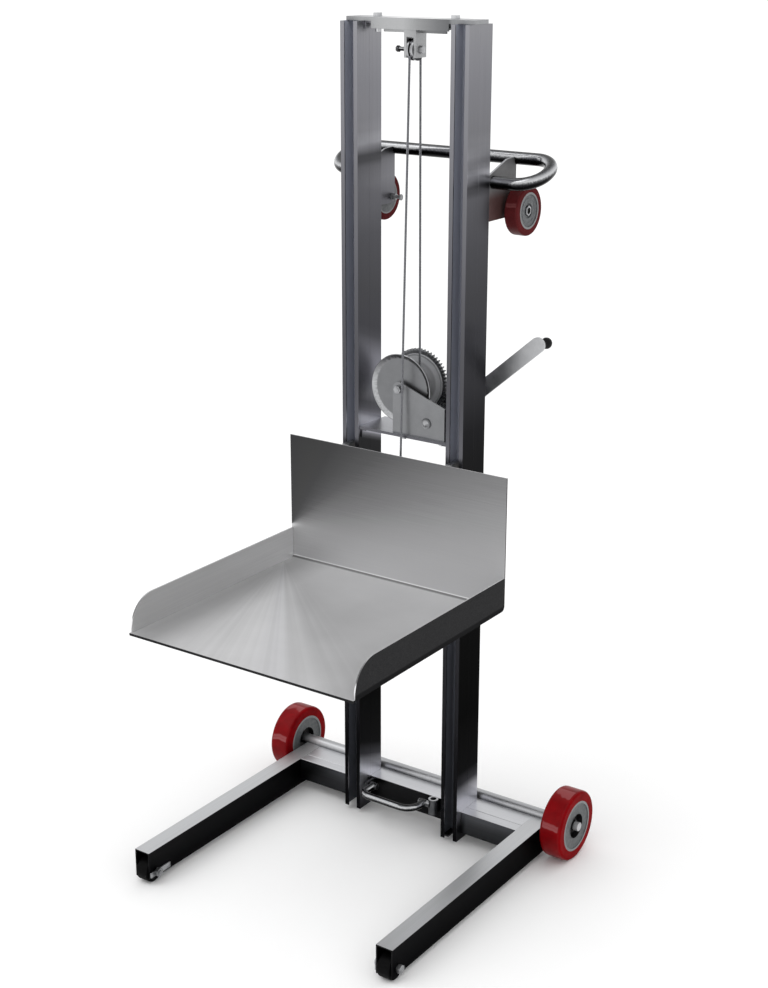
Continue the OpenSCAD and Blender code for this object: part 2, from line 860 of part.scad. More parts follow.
module winch_shelf() {
  half = rail_in - weld_gap;
  color("#6f7074") at_axle()
    difference() {
      box([-half, -winch_front - 6, shelf_z - shelf_t], [half, -winch_back + 1, shelf_z]);
      for (p = winch_bolt_places)
        translate([p[0], p[1], shelf_z - shelf_t - 1])
          cylinder(r = winch_bolt_d / 2 + bolt_gap, h = shelf_t + 2);
    }
}

// Point where a line from p touches a circle, on its upper right side
function touch_angle(p, c, r) =
  let (d = norm(p - c), toward = atan2(p[1] - c[1], p[0] - c[0]))
  toward + acos(r / d);

// Outline of a winch cheek: round over the drum shaft, sloping down to the pinion side
module cheek_outline() {
  c = [drum_x, drum_z];
  corner = [pinion_x + cheek_right, shelf_z + cheek_h];
  a = touch_angle(corner, c, cheek_boss_r);
  difference() {
    polygon(concat(
      [[drum_x - cheek_boss_r, shelf_z], [corner[0], shelf_z], corner],
      arc(c, cheek_boss_r, a, 180, 8)
    ));
    translate([drum_x, drum_z])
      circle(r = drum_shaft_d / 2 + bolt_gap);
    translate([pinion_x, pinion_z])
      circle(r = pinion_shaft_d / 2 + run_gap);
  }
}

module winch_frame() {
  color("#8b8c8e") at_axle() {
    slab_y(-winch_front, -winch_front + cheek_t)
      cheek_outline();
    slab_y(-winch_back - cheek_t, -winch_back)
      cheek_outline();
    difference() {
      box([drum_x - cheek_boss_r, -winch_front, shelf_z],
          [pinion_x + cheek_right, -winch_back, shelf_z + cheek_t]);
      for (p = winch_bolt_places)
        translate([p[0], p[1], shelf_z - 1])
          cylinder(r = winch_bolt_d / 2 + bolt_gap, h = cheek_t + 2);
    }
  }
}

module drum_shaft() {
  nut_t = drum_shaft_d * nut_height_ratio;
  color("#a8a9ac") at_axle() {
    rod_y(drum_shaft_d / 2, -winch_front - nut_t - 1, -winch_back + 1, drum_x, drum_z);
    hex_y(drum_shaft_d * 1.5, -winch_front - nut_t, -winch_front, drum_x, drum_z);
    hex_y(drum_shaft_d * 1.5, -winch_back, -winch_back + 4.5, drum_x, drum_z);
  }
}

// Drum, the rim of its front flange is dished forward
module winch_drum() {
  bore_r = drum_shaft_d / 2 + run_gap;
  dish = 6;
  rim_w = 11;
  hub_r = 11;
  f = -drum_front;
  b = -drum_back;
  color("#8d8e91") at_axle()
    turned_y(drum_x, drum_z)
      polygon([
        [bore_r, -winch_front + cheek_t + seat_gap], [hub_r, -winch_front + cheek_t + seat_gap],
        [hub_r, f + dish], [drum_flange_r - rim_w, f + dish], [drum_flange_r - 1.5, f], [drum_flange_r, f + 1.5],
        [drum_flange_r - rim_w + 2, f + dish + flange_t], [barrel_r, f + dish + flange_t],
        [barrel_r, b - flange_t], [drum_back_r, b - flange_t], [drum_back_r, b], [hub_r, b], [bore_r, b]
      ]);
}

// Half the angle that a tooth fills at radius r, in degrees
function flank_angle(r, pitch_r, teeth, backlash) =
  let (base_r = pitch_r * cos(20), a = acos(min(1, base_r / r)))
  90 / teeth - backlash / pitch_r * 45 / PI + (tan(20) * 180 / PI - 20) - (tan(a) * 180 / PI - a);

// Involute outline of a spur gear, its first tooth points along +X
function gear_outline(m, teeth, backlash) =
  let (
    pitch_r = m * teeth / 2,
    root_r = pitch_r - 1.25 * m,
    start_r = max(root_r, pitch_r * cos(20) + 0.01),
    tip_r = pitch_r + m,
    steps = 3,
    radii = [for (i = [0:steps]) start_r + (tip_r - start_r) * i / steps],
    half = [for (r = radii) flank_angle(r, pitch_r, teeth, backlash)]
  )
  [for (k = [0:teeth - 1])
    for (j = [0:2 * steps + 3])
      let (
        up = j <= steps + 1,
        i = up ? j - 1 : 2 * steps + 2 - j,
        r = i < 0 ? root_r : radii[i],
        h = i < 0 ? half[0] : half[i],
        a = 360 * k / teeth + (up ? -h : h)
      )
      [r * cos(a), r * sin(a)]
  ];

gear_backlash = 0.35;

module drum_gear() {
  color("#7b7c80") at_axle()
    slab_y(-drum_back, -gear_back)
      translate([drum_x, drum_z])
        difference() {
          rotate(mesh_angle + 180 / gear_teeth)
            polygon(gear_outline(gear_m, gear_teeth, gear_backlash));
          circle(r = drum_shaft_d / 2 + run_gap);
        }
}

// Points of a tube swept along a route: rings of n points, side is a direction that is never along it
function route_dir(p, i) =
  let (a = p[max(i - 1, 0)], b = p[min(i + 1, len(p) - 1)])
  (b - a) / norm(b - a);

function tube_points(p, r, n, side) =
  [for (i = [0:len(p) - 1])
    let (t = route_dir(p, i), c = cross(t, side), u = c / norm(c), v = cross(u, t))
    for (k = [0:n - 1])
      p[i] + r * (cos(360 * k / n) * u + sin(360 * k / n) * v)
  ];

module tube(p, r, n, side) {
  last = len(p) - 1;
  polyhedron(
    points = tube_points(p, r, n, side),
    faces = concat(
      [[for (k = [0:n - 1]) k]],
      [for (i = [0:last - 1]) for (k = [0:n - 1]) [i * n + k, (i + 1) * n + k, i * n + (k + 1) % n]],
      [for (i = [0:last - 1]) for (k = [0:n - 1])
        [i * n + (k + 1) % n, (i + 1) * n + k, (i + 1) * n + (k + 1) % n]],
      [[for (k = [n - 1:-1:0]) last * n + k]]
    )
  );
}

// Turns of cable on the drum, from the rear flange forward, then a straight lead up
wrap_steps = 24;
wrap_route = concat(
  [for (i = [0:wraps * wrap_steps])
    let (a = 360 * i / wrap_steps, y = -(wrap_lead_y - (wraps - i / wrap_steps) * wrap_pitch))
    [drum_x + wrap_r * cos(a), y, drum_z + wrap_r * sin(a)]],
  [[drum_x + wrap_r, -wrap_lead_y, drum_z + cable_d]]
);
wrap_gaps = [for (i = [0:(wraps - 1) * wrap_steps]) norm(wrap_route[i + wrap_steps] - wrap_route[i]) - cable_d];
echo(least_gap_between_cable_turns = min(wrap_gaps));

module cable_winding() {
  color("#7f8083") at_axle()
    tube(wrap_route, cable_d / 2, 6, [0, 1, 0]);
}

// Cable from above the drum to the sheave, over it and down its front
module cable_rear_run() {
  clear_z = 18.5;
  wrap_top = [for (i = [0:12]) [0, -sheave_y + sheave_r * cos(15 * i), sheave_z + sheave_r * sin(15 * i)]];
  run_x = drum_x + wrap_r;
  rise = sheave_z - drum_z;
  low = [run_x * (1 - clear_z / rise), 0, 0];
  low_y = -wrap_lead_y + (wrap_lead_y - sheave_y + sheave_r) * clear_z / rise;
  color("#8a8b8e") at_axle()
    tube(concat([[low[0], low_y, drum_z + clear_z]], wrap_top, [[0, -sheave_y - sheave_r, cable_top_z]]),
         cable_d / 2, 8, [1, 0, 0]);
}

// Cable from the sheave's front down to the carriage
module cable_front_run() {
  color("#8a8b8e") at_axle()
    tube([[0, -sheave_y - sheave_r, cable_top_z - seat_gap], [anchor_x, -anchor_y, anchor_top + seat_gap]],
         cable_d / 2, 8, [1, 0, 0]);
}

// Pinion and its shaft in one piece
module pinion_shaft() {
  shaft_r = pinion_shaft_d / 2;
  tooth_front = drum_back + 2;
  front_end = winch_front + 2.5;
  color("#a0a1a4") at_axle() {
    rod_y(shaft_r, -front_end, crank_front, pinion_x, pinion_z);
    rod_y(crank_bore_r, -winch_back, crank_front + crank_t + 8, pinion_x, pinion_z);
    slab_y(-tooth_front, -gear_back + 2)
      translate([pinion_x, pinion_z])
        rotate(mesh_angle + 180)
          polygon(gear_outline(gear_m, pinion_teeth, gear_backlash));
    rod_y(shaft_r + 3, -front_end, -winch_front - seat_gap, pinion_x, pinion_z);
  }
}

// Friction discs either side of the ratchet wheel
module brake_discs() {
  y0 = -winch_back + seat_gap;
  bore_r = pinion_shaft_d / 2 + weld_gap;
  color("#5f6063") at_axle()
    difference() {
      union() {
        rod_y(ratchet_r - 4, y0, y0 + brake_t, pinion_x, pinion_z);
        rod_y(ratchet_r - 4, y0 + brake_t + ratchet_t, y0 + 2 * brake_t + ratchet_t, pinion_x, pinion_z);
      }
      rod_y(bore_r, y0 - 1, y0 + 20, pinion_x, pinion_z);
    }
}

// Saw-toothed ratchet wheel
module ratchet_wheel() {
  teeth = 12;
  y0 = -winch_back + seat_gap + brake_t;
  color("#8e8f92") at_axle()
    slab_y(y0, y0 + ratchet_t)
      translate([pinion_x, pinion_z])
        difference() {
          polygon([for (k = [0:teeth - 1]) for (j = [0:1])
            let (a = (k + j * 0.12) * 360 / teeth, r = j == 0 ? ratchet_r : ratchet_r - 3.5)
            [r * cos(a), r * sin(a)]]);
          circle(r = pinion_shaft_d / 2 + weld_gap);
        }
}

pawl_x = pinion_x - 24;
pawl_z = pinion_z + 27;
pawl_pin_d = 6;
pawl_y0 = -winch_back + seat_gap + brake_t;

// Pin on the rear cheek that the pawl swings on
module pawl_pin() {
  color("#a8a9ac") at_axle() {
    rod_y(pawl_pin_d / 2, -winch_back, pawl_y0 + ratchet_t + 1.2, pawl_x, pawl_z);
    rod_y(pawl_pin_d / 2 + 3, -winch_back, pawl_y0 - side_gap, pawl_x, pawl_z);
    rod_y(pawl_pin_d / 2 + 2, pawl_y0 + ratchet_t + side_gap, pawl_y0 + ratchet_t + 2, pawl_x, pawl_z);
  }
}

// Pawl, drawn lifted just clear of the ratchet teeth
module pawl() {
  tip_r = ratchet_r + side_gap;
  tip_angle = 88;
  back_from = 75;
  back_to = 285;
  tip = [pinion_x + tip_r * cos(tip_angle), pinion_z + tip_r * sin(tip_angle)];
  color("#707174") at_axle()
    slab_y(pawl_y0, pawl_y0 + ratchet_t)
      difference() {
        polygon(concat(arc([pawl_x, pawl_z], pawl_pin_d / 2 + 3.5, back_from, back_to, 12), [tip, tip + [1, 5]]));
        translate([pawl_x, pawl_z])
          circle(r = pawl_pin_d / 2 + run_gap);
      }
}

// Crank

// Flat bar crank with rounded ends
module crank_arm() {
  color("#bcbdbf") at_axle()
    slab_y(crank_front, crank_front + crank_t)
      translate([pinion_x, pinion_z])
        rotate(crank_angle)
          difference() {
            union() {
              circle(r = crank_w / 2);
              translate([0, -crank_w / 2])
                square([crank_len, crank_w]);
              translate([crank_len, 0])
                circle(r = crank_w / 2);
            }
            circle(r = crank_bore_r + weld_gap);
          }
}

module crank_nut() {
  y0 = crank_front + crank_t;
  color("#b0b1b4") at_axle()
    difference() {
      hex_y(crank_bore_r * 3.2, y0, y0 + 7, pinion_x, pinion_z);
      rod_y(crank_bore_r + weld_gap, y0 - 1, y0 + 9, pinion_x, pinion_z);
    }
}

module grip_pin() {
  y0 = crank_front + crank_t;
  color("#a8a9ac") at_axle() {
    rod_y(grip_pin_d / 2, y0, y0 + grip_len - 4, grip_x, grip_z);
    rod_y(grip_pin_d / 2 + 2, y0, y0 + 1.5, grip_x, grip_z);
  }
}

// Tapered grip with a ball end, it turns on its pin
module grip() {
  y0 = crank_front + crank_t + 2;
  ball_y = crank_front + crank_t + grip_len;
  ball_r = grip_ball_d / 2;
  bore_r = grip_pin_d / 2 + run_gap;
  neck_r = 7;
  neck_a = asin(neck_r / ball_r);
  color("#161617") at_axle()
    turned_y(grip_x, grip_z)
      polygon(concat(
        [[bore_r, y0], [neck_r - 1, y0], [neck_r, y0 + 1]],
        [for (i = [0:10])
          let (a = neck_a + (180 - neck_a) * i / 10)
          [max(0, ball_r * sin(a)), ball_y - ball_r * cos(a)]],
        [[0, ball_y - 3], [bore_r, ball_y - 3]]
      ));
}

// Carriage

// Load face and back plate bent from one sheet
module tray_sheet() {
  half = tray_w / 2;
  in_half = half - sheet_t;
  low = tray_z - sheet_t;
  edge = 5;
  bend_c = [-back_y + sheet_t - bend_r, low + bend_r];
  color("#a9a9a9") at_axle() {
    slab_x(-in_half, in_half)
      polygon(concat(
        [[-tray_front, low]],
        arc(bend_c, bend_r, -90, 0, 10),
        [[-back_y + sheet_t, tray_z + wall_h], [-back_y, tray_z + wall_h]],
        arc(bend_c, bend_r - sheet_t, 0, -90, 10),
        [[-tray_front, tray_z]]
      ));
    box([-half, -tray_front, low], [half, -tray_front + edge, tray_z]);
    box([-half, -back_y, tray_z + wall_h], [half, -back_y + sheet_t, tray_z + back_h]);
  }
}

// Side walls with a large rounded front corner, welded to the sheet's edges
module tray_side_walls() {
  low = tray_z - sheet_t;
  top = tray_z + wall_h;
  front = -tray_front + 5;
  back = -back_y + sheet_t;
  color("#3a3a3b") at_axle()
    both_sides()
      slab_x(tray_w / 2 - sheet_t, tray_w / 2)
        polygon(concat(
          [[front, low]],
          arc([back - bend_r, low + bend_r], bend_r, -90, 0, 8),
          [[back, top]],
          arc([front + wall_round, top - wall_round], wall_round, 90, 180, 12)
        ));
}

// Plates behind the tray that reach into the rails
module carriage_arms() {
  front = -back_y + sheet_t;
  color("#8a8b8e") at_axle()
    both_sides()
      difference() {
        slab_x(rail_mid - arm_t / 2, rail_mid + arm_t / 2)
          polygon([
            [front, arm_bottom], [-arm_back - 8, arm_bottom], [-arm_back, arm_bottom + 8],
            [-arm_back, arm_top - 8], [-arm_back - 8, arm_top], [front, arm_top]
          ]);
        for (z = [guide_low_z, guide_up_z])
          rod_x(guide_pin_d / 2 + weld_gap, rail_in, rail_out, -guide_y, z);
      }
}

// Bar between the arms, the ledge along its top takes the cable
module carriage_bar() {
  front = -back_y + sheet_t;
  half = rail_mid - arm_t / 2 - weld_gap;
  color("#8a8b8e") at_axle() {
    box([-half, front, bar_top - bar_h], [half, front + bar_t, bar_top]);
    box([-half, front, bar_top - 8], [half, front + ledge_d, bar_top]);
  }
}

// Pressed sleeve that ends the cable on the carriage bar
module cable_anchor() {
  color("#9b9c9f") at_axle()
    translate([anchor_x, -anchor_y, bar_top])
      cylinder(r = cable_d * 0.9, h = anchor_len);
}

module roller_pins() {
  half = arm_t / 2 + side_gap + guide_w + 1;
  color("#b4b5b8") at_axle()
    both_sides()
      for (z = [guide_low_z, guide_up_z])
        rod_x(guide_pin_d / 2, rail_mid - half, rail_mid + half, -guide_y, z);
}

// Two rollers on each pin, one either side of the arm
module guide_rollers(z) {
  bore_r = guide_pin_d / 2 + run_gap;
  color("#d8d8d6") at_axle()
    both_sides()
      for (s = [-1, 1])
        turned_x(-guide_y, z)
          polygon([
            [bore_r, rail_mid + s * (arm_t / 2 + side_gap)],
            [guide_r, rail_mid + s * (arm_t / 2 + side_gap)],
            [guide_r, rail_mid + s * (arm_t / 2 + side_gap + guide_w)],
            [bore_r, rail_mid + s * (arm_t / 2 + side_gap + guide_w)]
          ]);
}

module upper_carriage_rollers() {
  guide_rollers(guide_up_z);
}

module lower_carriage_rollers() {
  guide_rollers(guide_low_z);
}

// Foot bail

// Bent rod bail, lying flat in front of the cross member at rest
module foot_bail() {
  r = bail_d / 2;
  bend = 20;
  wide_bend = 34;
  eye_r = bail_bolt_d / 2 + run_gap;
  front_y = -bail_y - bail_len;
  color("#c8c9cc") at_axle()
    difference() {
      union() {
        rod_x(r, bail_left + bend, bail_right - wide_bend, front_y, bail_z);
        translate([bail_left + bend, front_y + bend, bail_z])
          rotate([0, 0, 180])
            rotate_extrude(angle = 90)
              translate([bend, 0])
                circle(r = r);
        translate([bail_right - wide_bend, front_y + wide_bend, bail_z])
          rotate([0, 0, -90])
            rotate_extrude(angle = 90)
              translate([wide_bend, 0])
                circle(r = r);
        rod_y(r, front_y + bend, -bail_y, bail_left, bail_z);
        rod_y(r, front_y + wide_bend, -bail_y, bail_right, bail_z);
        rod_x(r, bail_left - r, bail_left + r, -bail_y, bail_z);
        rod_x(r, bail_right - r, bail_right + r, -bail_y, bail_z);
      }
      rod_x(eye_r, bail_left - 2 * r, bail_left + 2 * r, -bail_y, bail_z);
      rod_x(eye_r, bail_right - 2 * r, bail_right + 2 * r, -bail_y, bail_z);
    }
}

// Ear on the cross member that holds the bail's left bolt
module bail_ear() {
  x1 = bail_left - bail_d / 2 - seat_gap;
  color("#77787b") at_axle()
    difference() {
      box([x1 - ear_t, -bail_y - 8, bail_z - 9], [x1, -cross_front, bail_z + 9]);
      rod_x(bail_bolt_d / 2 + weld_gap, x1 - ear_t - 1, x1 + 1, -bail_y, bail_z);
    }
}

// Two bolts that the bail swings on, the right one is screwed into the sleeve's boss
module bail_bolts() {
  head_t = 3.5;
  r = bail_d / 2 + seat_gap;
  left_end = bail_left - r - ear_t - head_t;
  left_head = bail_left + r;
  right_head = bail_right - r;
  color("#b4b5b8") at_axle() {
    rod_x(bail_bolt_d / 2, left_end, left_head + 1, -bail_y, bail_z);
    hex_x(bail_bolt_d * nut_ratio, left_end, left_end + head_t, -bail_y, bail_z);
    rod_x(bail_d / 2 - 1, left_head, left_head + head_t, -bail_y, bail_z);
    rod_x(bail_d / 2 - 1, right_head - head_t, right_head, -bail_y, bail_z);
    rod_x(bail_bolt_d / 2, right_head - 1, sleeve_x - sleeve_bore / 2 - 2, -bail_y, bail_z);
  }
}

// Upright sleeve in front of the cross member, open at both ends, with a boss for the bail's right bolt
module post_sleeve() {
  low = sleeve_top - sleeve_h;
  boss_x = bail_right + bail_d / 2 + seat_gap;
  color("#8b8c8f") at_axle()
    difference() {
      union() {
        translate([sleeve_x, -sleeve_y, low])
          cylinder(r = sleeve_d / 2, h = sleeve_top - low);
        box([sleeve_x - 4, -sleeve_y, low], [sleeve_x + 4, -cross_front, leg_top - 3]);
        rod_x(bail_d / 2 - 1, boss_x, sleeve_x - 4, -bail_y, bail_z);
      }
      translate([sleeve_x, -sleeve_y, low - 1])
        cylinder(r = sleeve_bore / 2, h = sleeve_top - low + 2);
      rod_x(bail_bolt_d / 2 + weld_gap, boss_x - 1, sleeve_x - sleeve_bore / 2 - 1, -bail_y, bail_z);
    }
}

left_leg();
right_leg();
cross_member();
front_strips();
axle_saddle();
rear_axle();
axle_washers();
left_rail();
right_rail();
mast_tubes();
rail_stops();
top_bridge();
column_brackets();
frame_bolts();
pulley_clevis();
sheave_bolt();
handle_tube();
wheel_gussets();
upper_axle_bolts();
winch_shelf();
winch_frame();
drum_shaft();
pawl_pin();
cable_rear_run();
front_roller_bolts();
bail_ear();
bail_bolts();
post_sleeve();
sheave();
winch_drum();
drum_gear();
cable_winding();
pinion_shaft();
brake_discs();
ratchet_wheel();
crank_arm();
crank_nut();
grip_pin();
grip();
pawl();
tray_sheet();
tray_side_walls();
carriage_arms();
carriage_bar();
roller_pins();
cable_anchor();
upper_carriage_rollers();
lower_carriage_rollers();
left_rear_tyre();
left_rear_hub();
right_rear_tyre();
right_rear_hub();
left_front_roller();
right_front_roller();
left_upper_tyre();
left_upper_hub();
right_upper_tyre();
right_upper_hub();
foot_bail();
cable_front_run();
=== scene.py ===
import json
import math
import bpy
import bmesh
from mathutils import Matrix, Vector

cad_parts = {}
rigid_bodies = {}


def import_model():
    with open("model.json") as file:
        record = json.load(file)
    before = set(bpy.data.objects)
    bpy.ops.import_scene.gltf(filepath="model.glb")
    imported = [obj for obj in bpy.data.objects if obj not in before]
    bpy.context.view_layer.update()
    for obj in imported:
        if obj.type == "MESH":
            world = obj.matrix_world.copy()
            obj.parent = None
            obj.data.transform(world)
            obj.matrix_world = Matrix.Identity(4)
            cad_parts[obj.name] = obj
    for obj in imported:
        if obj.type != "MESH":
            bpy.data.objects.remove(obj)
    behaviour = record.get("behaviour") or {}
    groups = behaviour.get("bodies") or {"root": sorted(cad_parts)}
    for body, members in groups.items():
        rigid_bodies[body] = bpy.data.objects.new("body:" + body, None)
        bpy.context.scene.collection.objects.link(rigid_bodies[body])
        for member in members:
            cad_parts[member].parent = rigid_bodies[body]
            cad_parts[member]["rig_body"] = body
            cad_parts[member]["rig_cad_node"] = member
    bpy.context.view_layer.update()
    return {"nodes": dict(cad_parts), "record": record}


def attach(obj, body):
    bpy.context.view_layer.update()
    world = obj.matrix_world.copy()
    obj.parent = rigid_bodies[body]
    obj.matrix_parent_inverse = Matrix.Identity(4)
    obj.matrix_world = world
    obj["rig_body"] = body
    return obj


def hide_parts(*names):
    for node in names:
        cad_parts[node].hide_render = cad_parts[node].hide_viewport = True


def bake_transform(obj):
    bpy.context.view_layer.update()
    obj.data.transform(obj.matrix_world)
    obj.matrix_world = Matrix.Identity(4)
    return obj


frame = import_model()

NODES = frame["nodes"]
BODY_OF = {n: body for body, members in frame["record"]["behaviour"]["bodies"].items() for n in members}
MM = 0.001
AXLE_Y = 0.2633  # the rear axle, seen from the middle of the footprint

# Camera: found from the edges of the mast, base and tray, for a picture of 768 x 988 pixels

CAMERA_PLACE = (1.86647, -2.85887 + AXLE_Y, 1.88917)
CAMERA_FORWARD = Vector((-0.54022862, 0.77939667, -0.31732299))
CAMERA_UP = Vector((-0.18173581, 0.26012923, 0.94831687))
FOCAL_PIXELS = 1694.53
SENSOR_HEIGHT = 24.0
PICTURE_HEIGHT = 988
SEES_UP_TO = 200


def deselect():
    if bpy.context.object and bpy.context.object.mode != "OBJECT":
        bpy.ops.object.mode_set(mode="OBJECT")
    bpy.ops.object.select_all(action="DESELECT")


def choose(piece):
    deselect()
    piece.select_set(True)
    bpy.context.view_layer.objects.active = piece


def place_camera():
    deselect()
    bpy.ops.object.camera_add(location=CAMERA_PLACE)
    camera = bpy.context.object
    camera.name = "camera"
    right = CAMERA_FORWARD.cross(CAMERA_UP).normalized()
    up = right.cross(CAMERA_FORWARD).normalized()
    turn = Matrix((right, up, -CAMERA_FORWARD.normalized())).transposed()
    camera.matrix_world = Matrix.Translation(CAMERA_PLACE) @ turn.to_4x4()
    camera.data.sensor_fit = "VERTICAL"
    camera.data.sensor_height = SENSOR_HEIGHT
    camera.data.lens = FOCAL_PIXELS * SENSOR_HEIGHT / PICTURE_HEIGHT
    camera.data.clip_end = SEES_UP_TO
    bpy.context.scene.camera = camera


place_camera()


# Materials


def linear(code):
    """sRGB hex to the linear colour that shaders take."""
    shares = [int(code[i:i + 2], 16) / 255 for i in (1, 3, 5)]
    return (*(c / 12.92 if c <= 0.04045 else ((c + 0.055) / 1.055) ** 2.4 for c in shares), 1.0)


def grey(value):
    return (value, value, value, 1.0)


def add(tree, kind, *inputs, stops=(), **settings):
    """Adds a node and gives its first output in use. inputs go in order to the inputs in use, and in_X goes to input X.
    A socket is linked and a value is set. stops are a ramp's places, each with a hex colour or a share of white."""
    node = tree.nodes.new("ShaderNode" + kind)
    for key, value in settings.items():
        if not key.startswith("in_"):
            setattr(node, key, value)
    wanted = list(zip([socket for socket in node.inputs if socket.enabled], inputs))
    wanted += [(node.inputs[key[3:].replace("_", " ")], settings[key]) for key in settings if key.startswith("in_")]
    for socket, value in wanted:
        if isinstance(value, bpy.types.NodeSocket):
            tree.links.new(value, socket)
        else:
            socket.default_value = value
    while stops and len(node.color_ramp.elements) < len(stops):
        node.color_ramp.elements.new(0.5)
    for i, (place, colour) in enumerate(stops):
        node.color_ramp.elements[i].position = place
        node.color_ramp.elements[i].color = linear(colour) if isinstance(colour, str) else grey(colour)
    return next((socket for socket in node.outputs if socket.enabled), None)


def blank(name):
    """A new material, with its place and its normal in the object's own space."""
    material = bpy.data.materials.new(name)
    material.use_nodes = True
    tree = material.node_tree
    tree.nodes.clear()
    own = add(tree, "TexCoord").node.outputs
    return material, tree, own["Object"], own["Normal"]


FINE = 0.0002  # how deep the marks on a surface are, in metres


def shade(tree, colour, roughness, relief=None, **shader):
    """Ends a material with its shader. roughness is a value, or a mask with the values where it is 0 and 1.
    relief is a mask, its strength and its depth."""
    if isinstance(roughness, tuple):
        mask, low, high = roughness
        roughness = add(tree, "MapRange", mask, 0.0, 1.0, low, high)
    if relief:
        mask, strength, depth = relief
        shader["Normal"] = add(tree, "Bump", in_Height=mask, in_Strength=strength, in_Distance=depth)
    own = {"in_" + key: value for key, value in shader.items()}
    add(tree, "OutputMaterial", add(tree, "BsdfPrincipled", in_Base_Color=colour, in_Roughness=roughness, **own))


def streaks(tree, spot, millimetres, detail=3.0):
    """Noise whose grain has the given size along X, Y and Z."""
    scaled = add(tree, "Mapping", spot, in_Scale=[1 / MM / m for m in millimetres])
    return add(tree, "TexNoise", scaled, in_Scale=1.0, in_Detail=detail, in_Roughness=0.6)


def layered(tree, colour, *layers):
    """A colour under others, each laid on where its mask is 1."""
    for mask, layer in layers:
        colour = add(tree, "Mix", mask, colour, layer, data_type="RGBA")
    return colour


def tinted(tree, colour, *tints):
    """A colour multiplied by others."""
    for other in tints:
        colour = add(tree, "Mix", 1.0, colour, other, data_type="RGBA", blend_type="MULTIPLY")
    return colour


def facing(tree, normal, axis, low=0.45, high=0.75):
    """1 on faces that look along an axis: left or right for X, to the back for Y and upwards for Z."""
    value = add(tree, "Math", normal[axis], operation="ABSOLUTE") if axis == "X" else normal[axis]
    return add(tree, "MapRange", value, low, high)


def over(tree, value, low, high, stops):
    """A ramp over a value that runs from low to high, with its stops in the value's own unit."""
    share = add(tree, "MapRange", value, low, high)
    return add(tree, "ValToRGB", share, stops=[((place - low) / (high - low), colour) for place, colour in stops])


def by_degrees(tree, angle, stops):
    """A ramp over an angle in radians, its stops in degrees from -90 to 90."""
    share = add(tree, "MapRange", angle, -math.pi / 2, math.pi / 2)
    return add(tree, "ValToRGB", share, stops=[((degrees + 90) / 180, colour) for degrees, colour in stops])


def angle_about(tree, spot, centre, first, second):
    """Angle of a point about a centre, from the first axis towards the second, in radians."""
    moved = add(tree, "VectorMath", spot, centre, operation="SUBTRACT")
    along = add(tree, "SeparateXYZ", moved).node.outputs
    return add(tree, "Math", along[second], along[first], operation="ARCTAN2")


# Colours of the aluminium by height: painted reflections of the dark and light things round these long polished faces

TOP = 1.74


def by_height(stops):
    """Ramp stops from heights in metres."""
    return [(z / TOP, code) for z, code in stops]


FADE = {
    "side": by_height([(0.0, "#1a1a1c"), (0.04, "#5a5a5d"), (0.065, "#eeeef4"), (0.1, "#e8e8f0"), (0.14, "#404044"),
                       (0.17, "#161617"), (0.3, "#0c0c0c"), (0.48, "#101010"), (0.87, "#202021"), (0.93, "#242426"),
                       (1.05, "#3a3a3d"), (1.12, "#424246"), (1.2, "#464649"), (1.3, "#4f4f53"), (1.4, "#58585c"),
                       (1.46, "#6c6c70"), (1.5, "#79797d"), (1.6, "#828287"), (1.66, "#8a8a8f"), (1.71, "#929296")]),
    "front": by_height([(0.0, "#121213"), (0.2, "#19191b"), (0.32, "#28282b"), (0.48, "#2e2e31"), (0.7, "#444448"),
                        (0.88, "#6a6a6f"), (0.94, "#5c5c61"), (1.0, "#555559"), (1.1, "#59595d"), (1.2, "#616166"),
                        (1.3, "#6d6d72"), (1.4, "#757579"), (1.5, "#828287"), (1.6, "#8a8a8f"), (1.71, "#96969b")]),
    "back": by_height([(0.0, "#3c3c3f"), (0.3, "#48484b"), (1.0, "#6d6d71"), (1.71, "#8f8f94")]),
    "bay": by_height([(0.0, "#4e5056"), (0.34, "#64676f"), (0.6, "#787b84"), (0.86, "#acafba"), (0.93, "#9fa2ad"),
                      (1.1, "#989ba6"), (1.28, "#9b9ea9"), (1.46, "#a6a9b4"), (1.71, "#abaeb9")]),
}
# the inner side of the left column also has the winch and its shelf painted on as reflections
FADE["left"] = sorted([stop for stop in FADE["side"] if stop[0] < 0.85 / TOP or stop[0] > 1.1 / TOP] +
                      by_height([(0.88, "#2a2a2b"), (0.89, "#68686c"), (0.9, "#cacad4"), (0.91, "#e6e6ee"),
                                 (0.92, "#e0e0e8"), (0.93, "#8e8e96"), (0.94, "#56565b"), (0.957, "#48484c"),
                                 (0.98, "#68686d"), (1.0, "#76767d"), (1.03, "#7e7e86"), (1.06, "#74747b"),
                                 (1.1, "#4a4a4e")]))
# how the handle lightens and darkens each column beside it: its painted reflection and painted shade
LIGHT_FROM = 1.2
PAINTED_HANDLE_SHADING = {
    "left": [(1.3, 1.1), (1.35, 1.28), (1.4, 1.36), (1.423, 1.11), (1.435, 0.94), (1.447, 0.56), (1.459, 0.55),
             (1.47, 1.5), (1.482, 2.3), (1.494, 1.78), (1.506, 1.33), (1.53, 1.1), (1.6, 1.0)],
    "right": [(1.3, 1.0), (1.37, 1.15), (1.394, 1.2), (1.406, 0.77), (1.417, 0.75), (1.4285, 2.3), (1.44, 2.9),
              (1.451, 1.9), (1.463, 1.75), (1.474, 1.9), (1.485, 1.5), (1.496, 1.2), (1.52, 1.0)],
}
# where the shelf's painted reflection lies on the left column
SHELF_SLANT = 0.35  # how far the shelf's light sinks along the column's depth
SHELF_REFLECTION_Y = AXLE_Y - 0.095
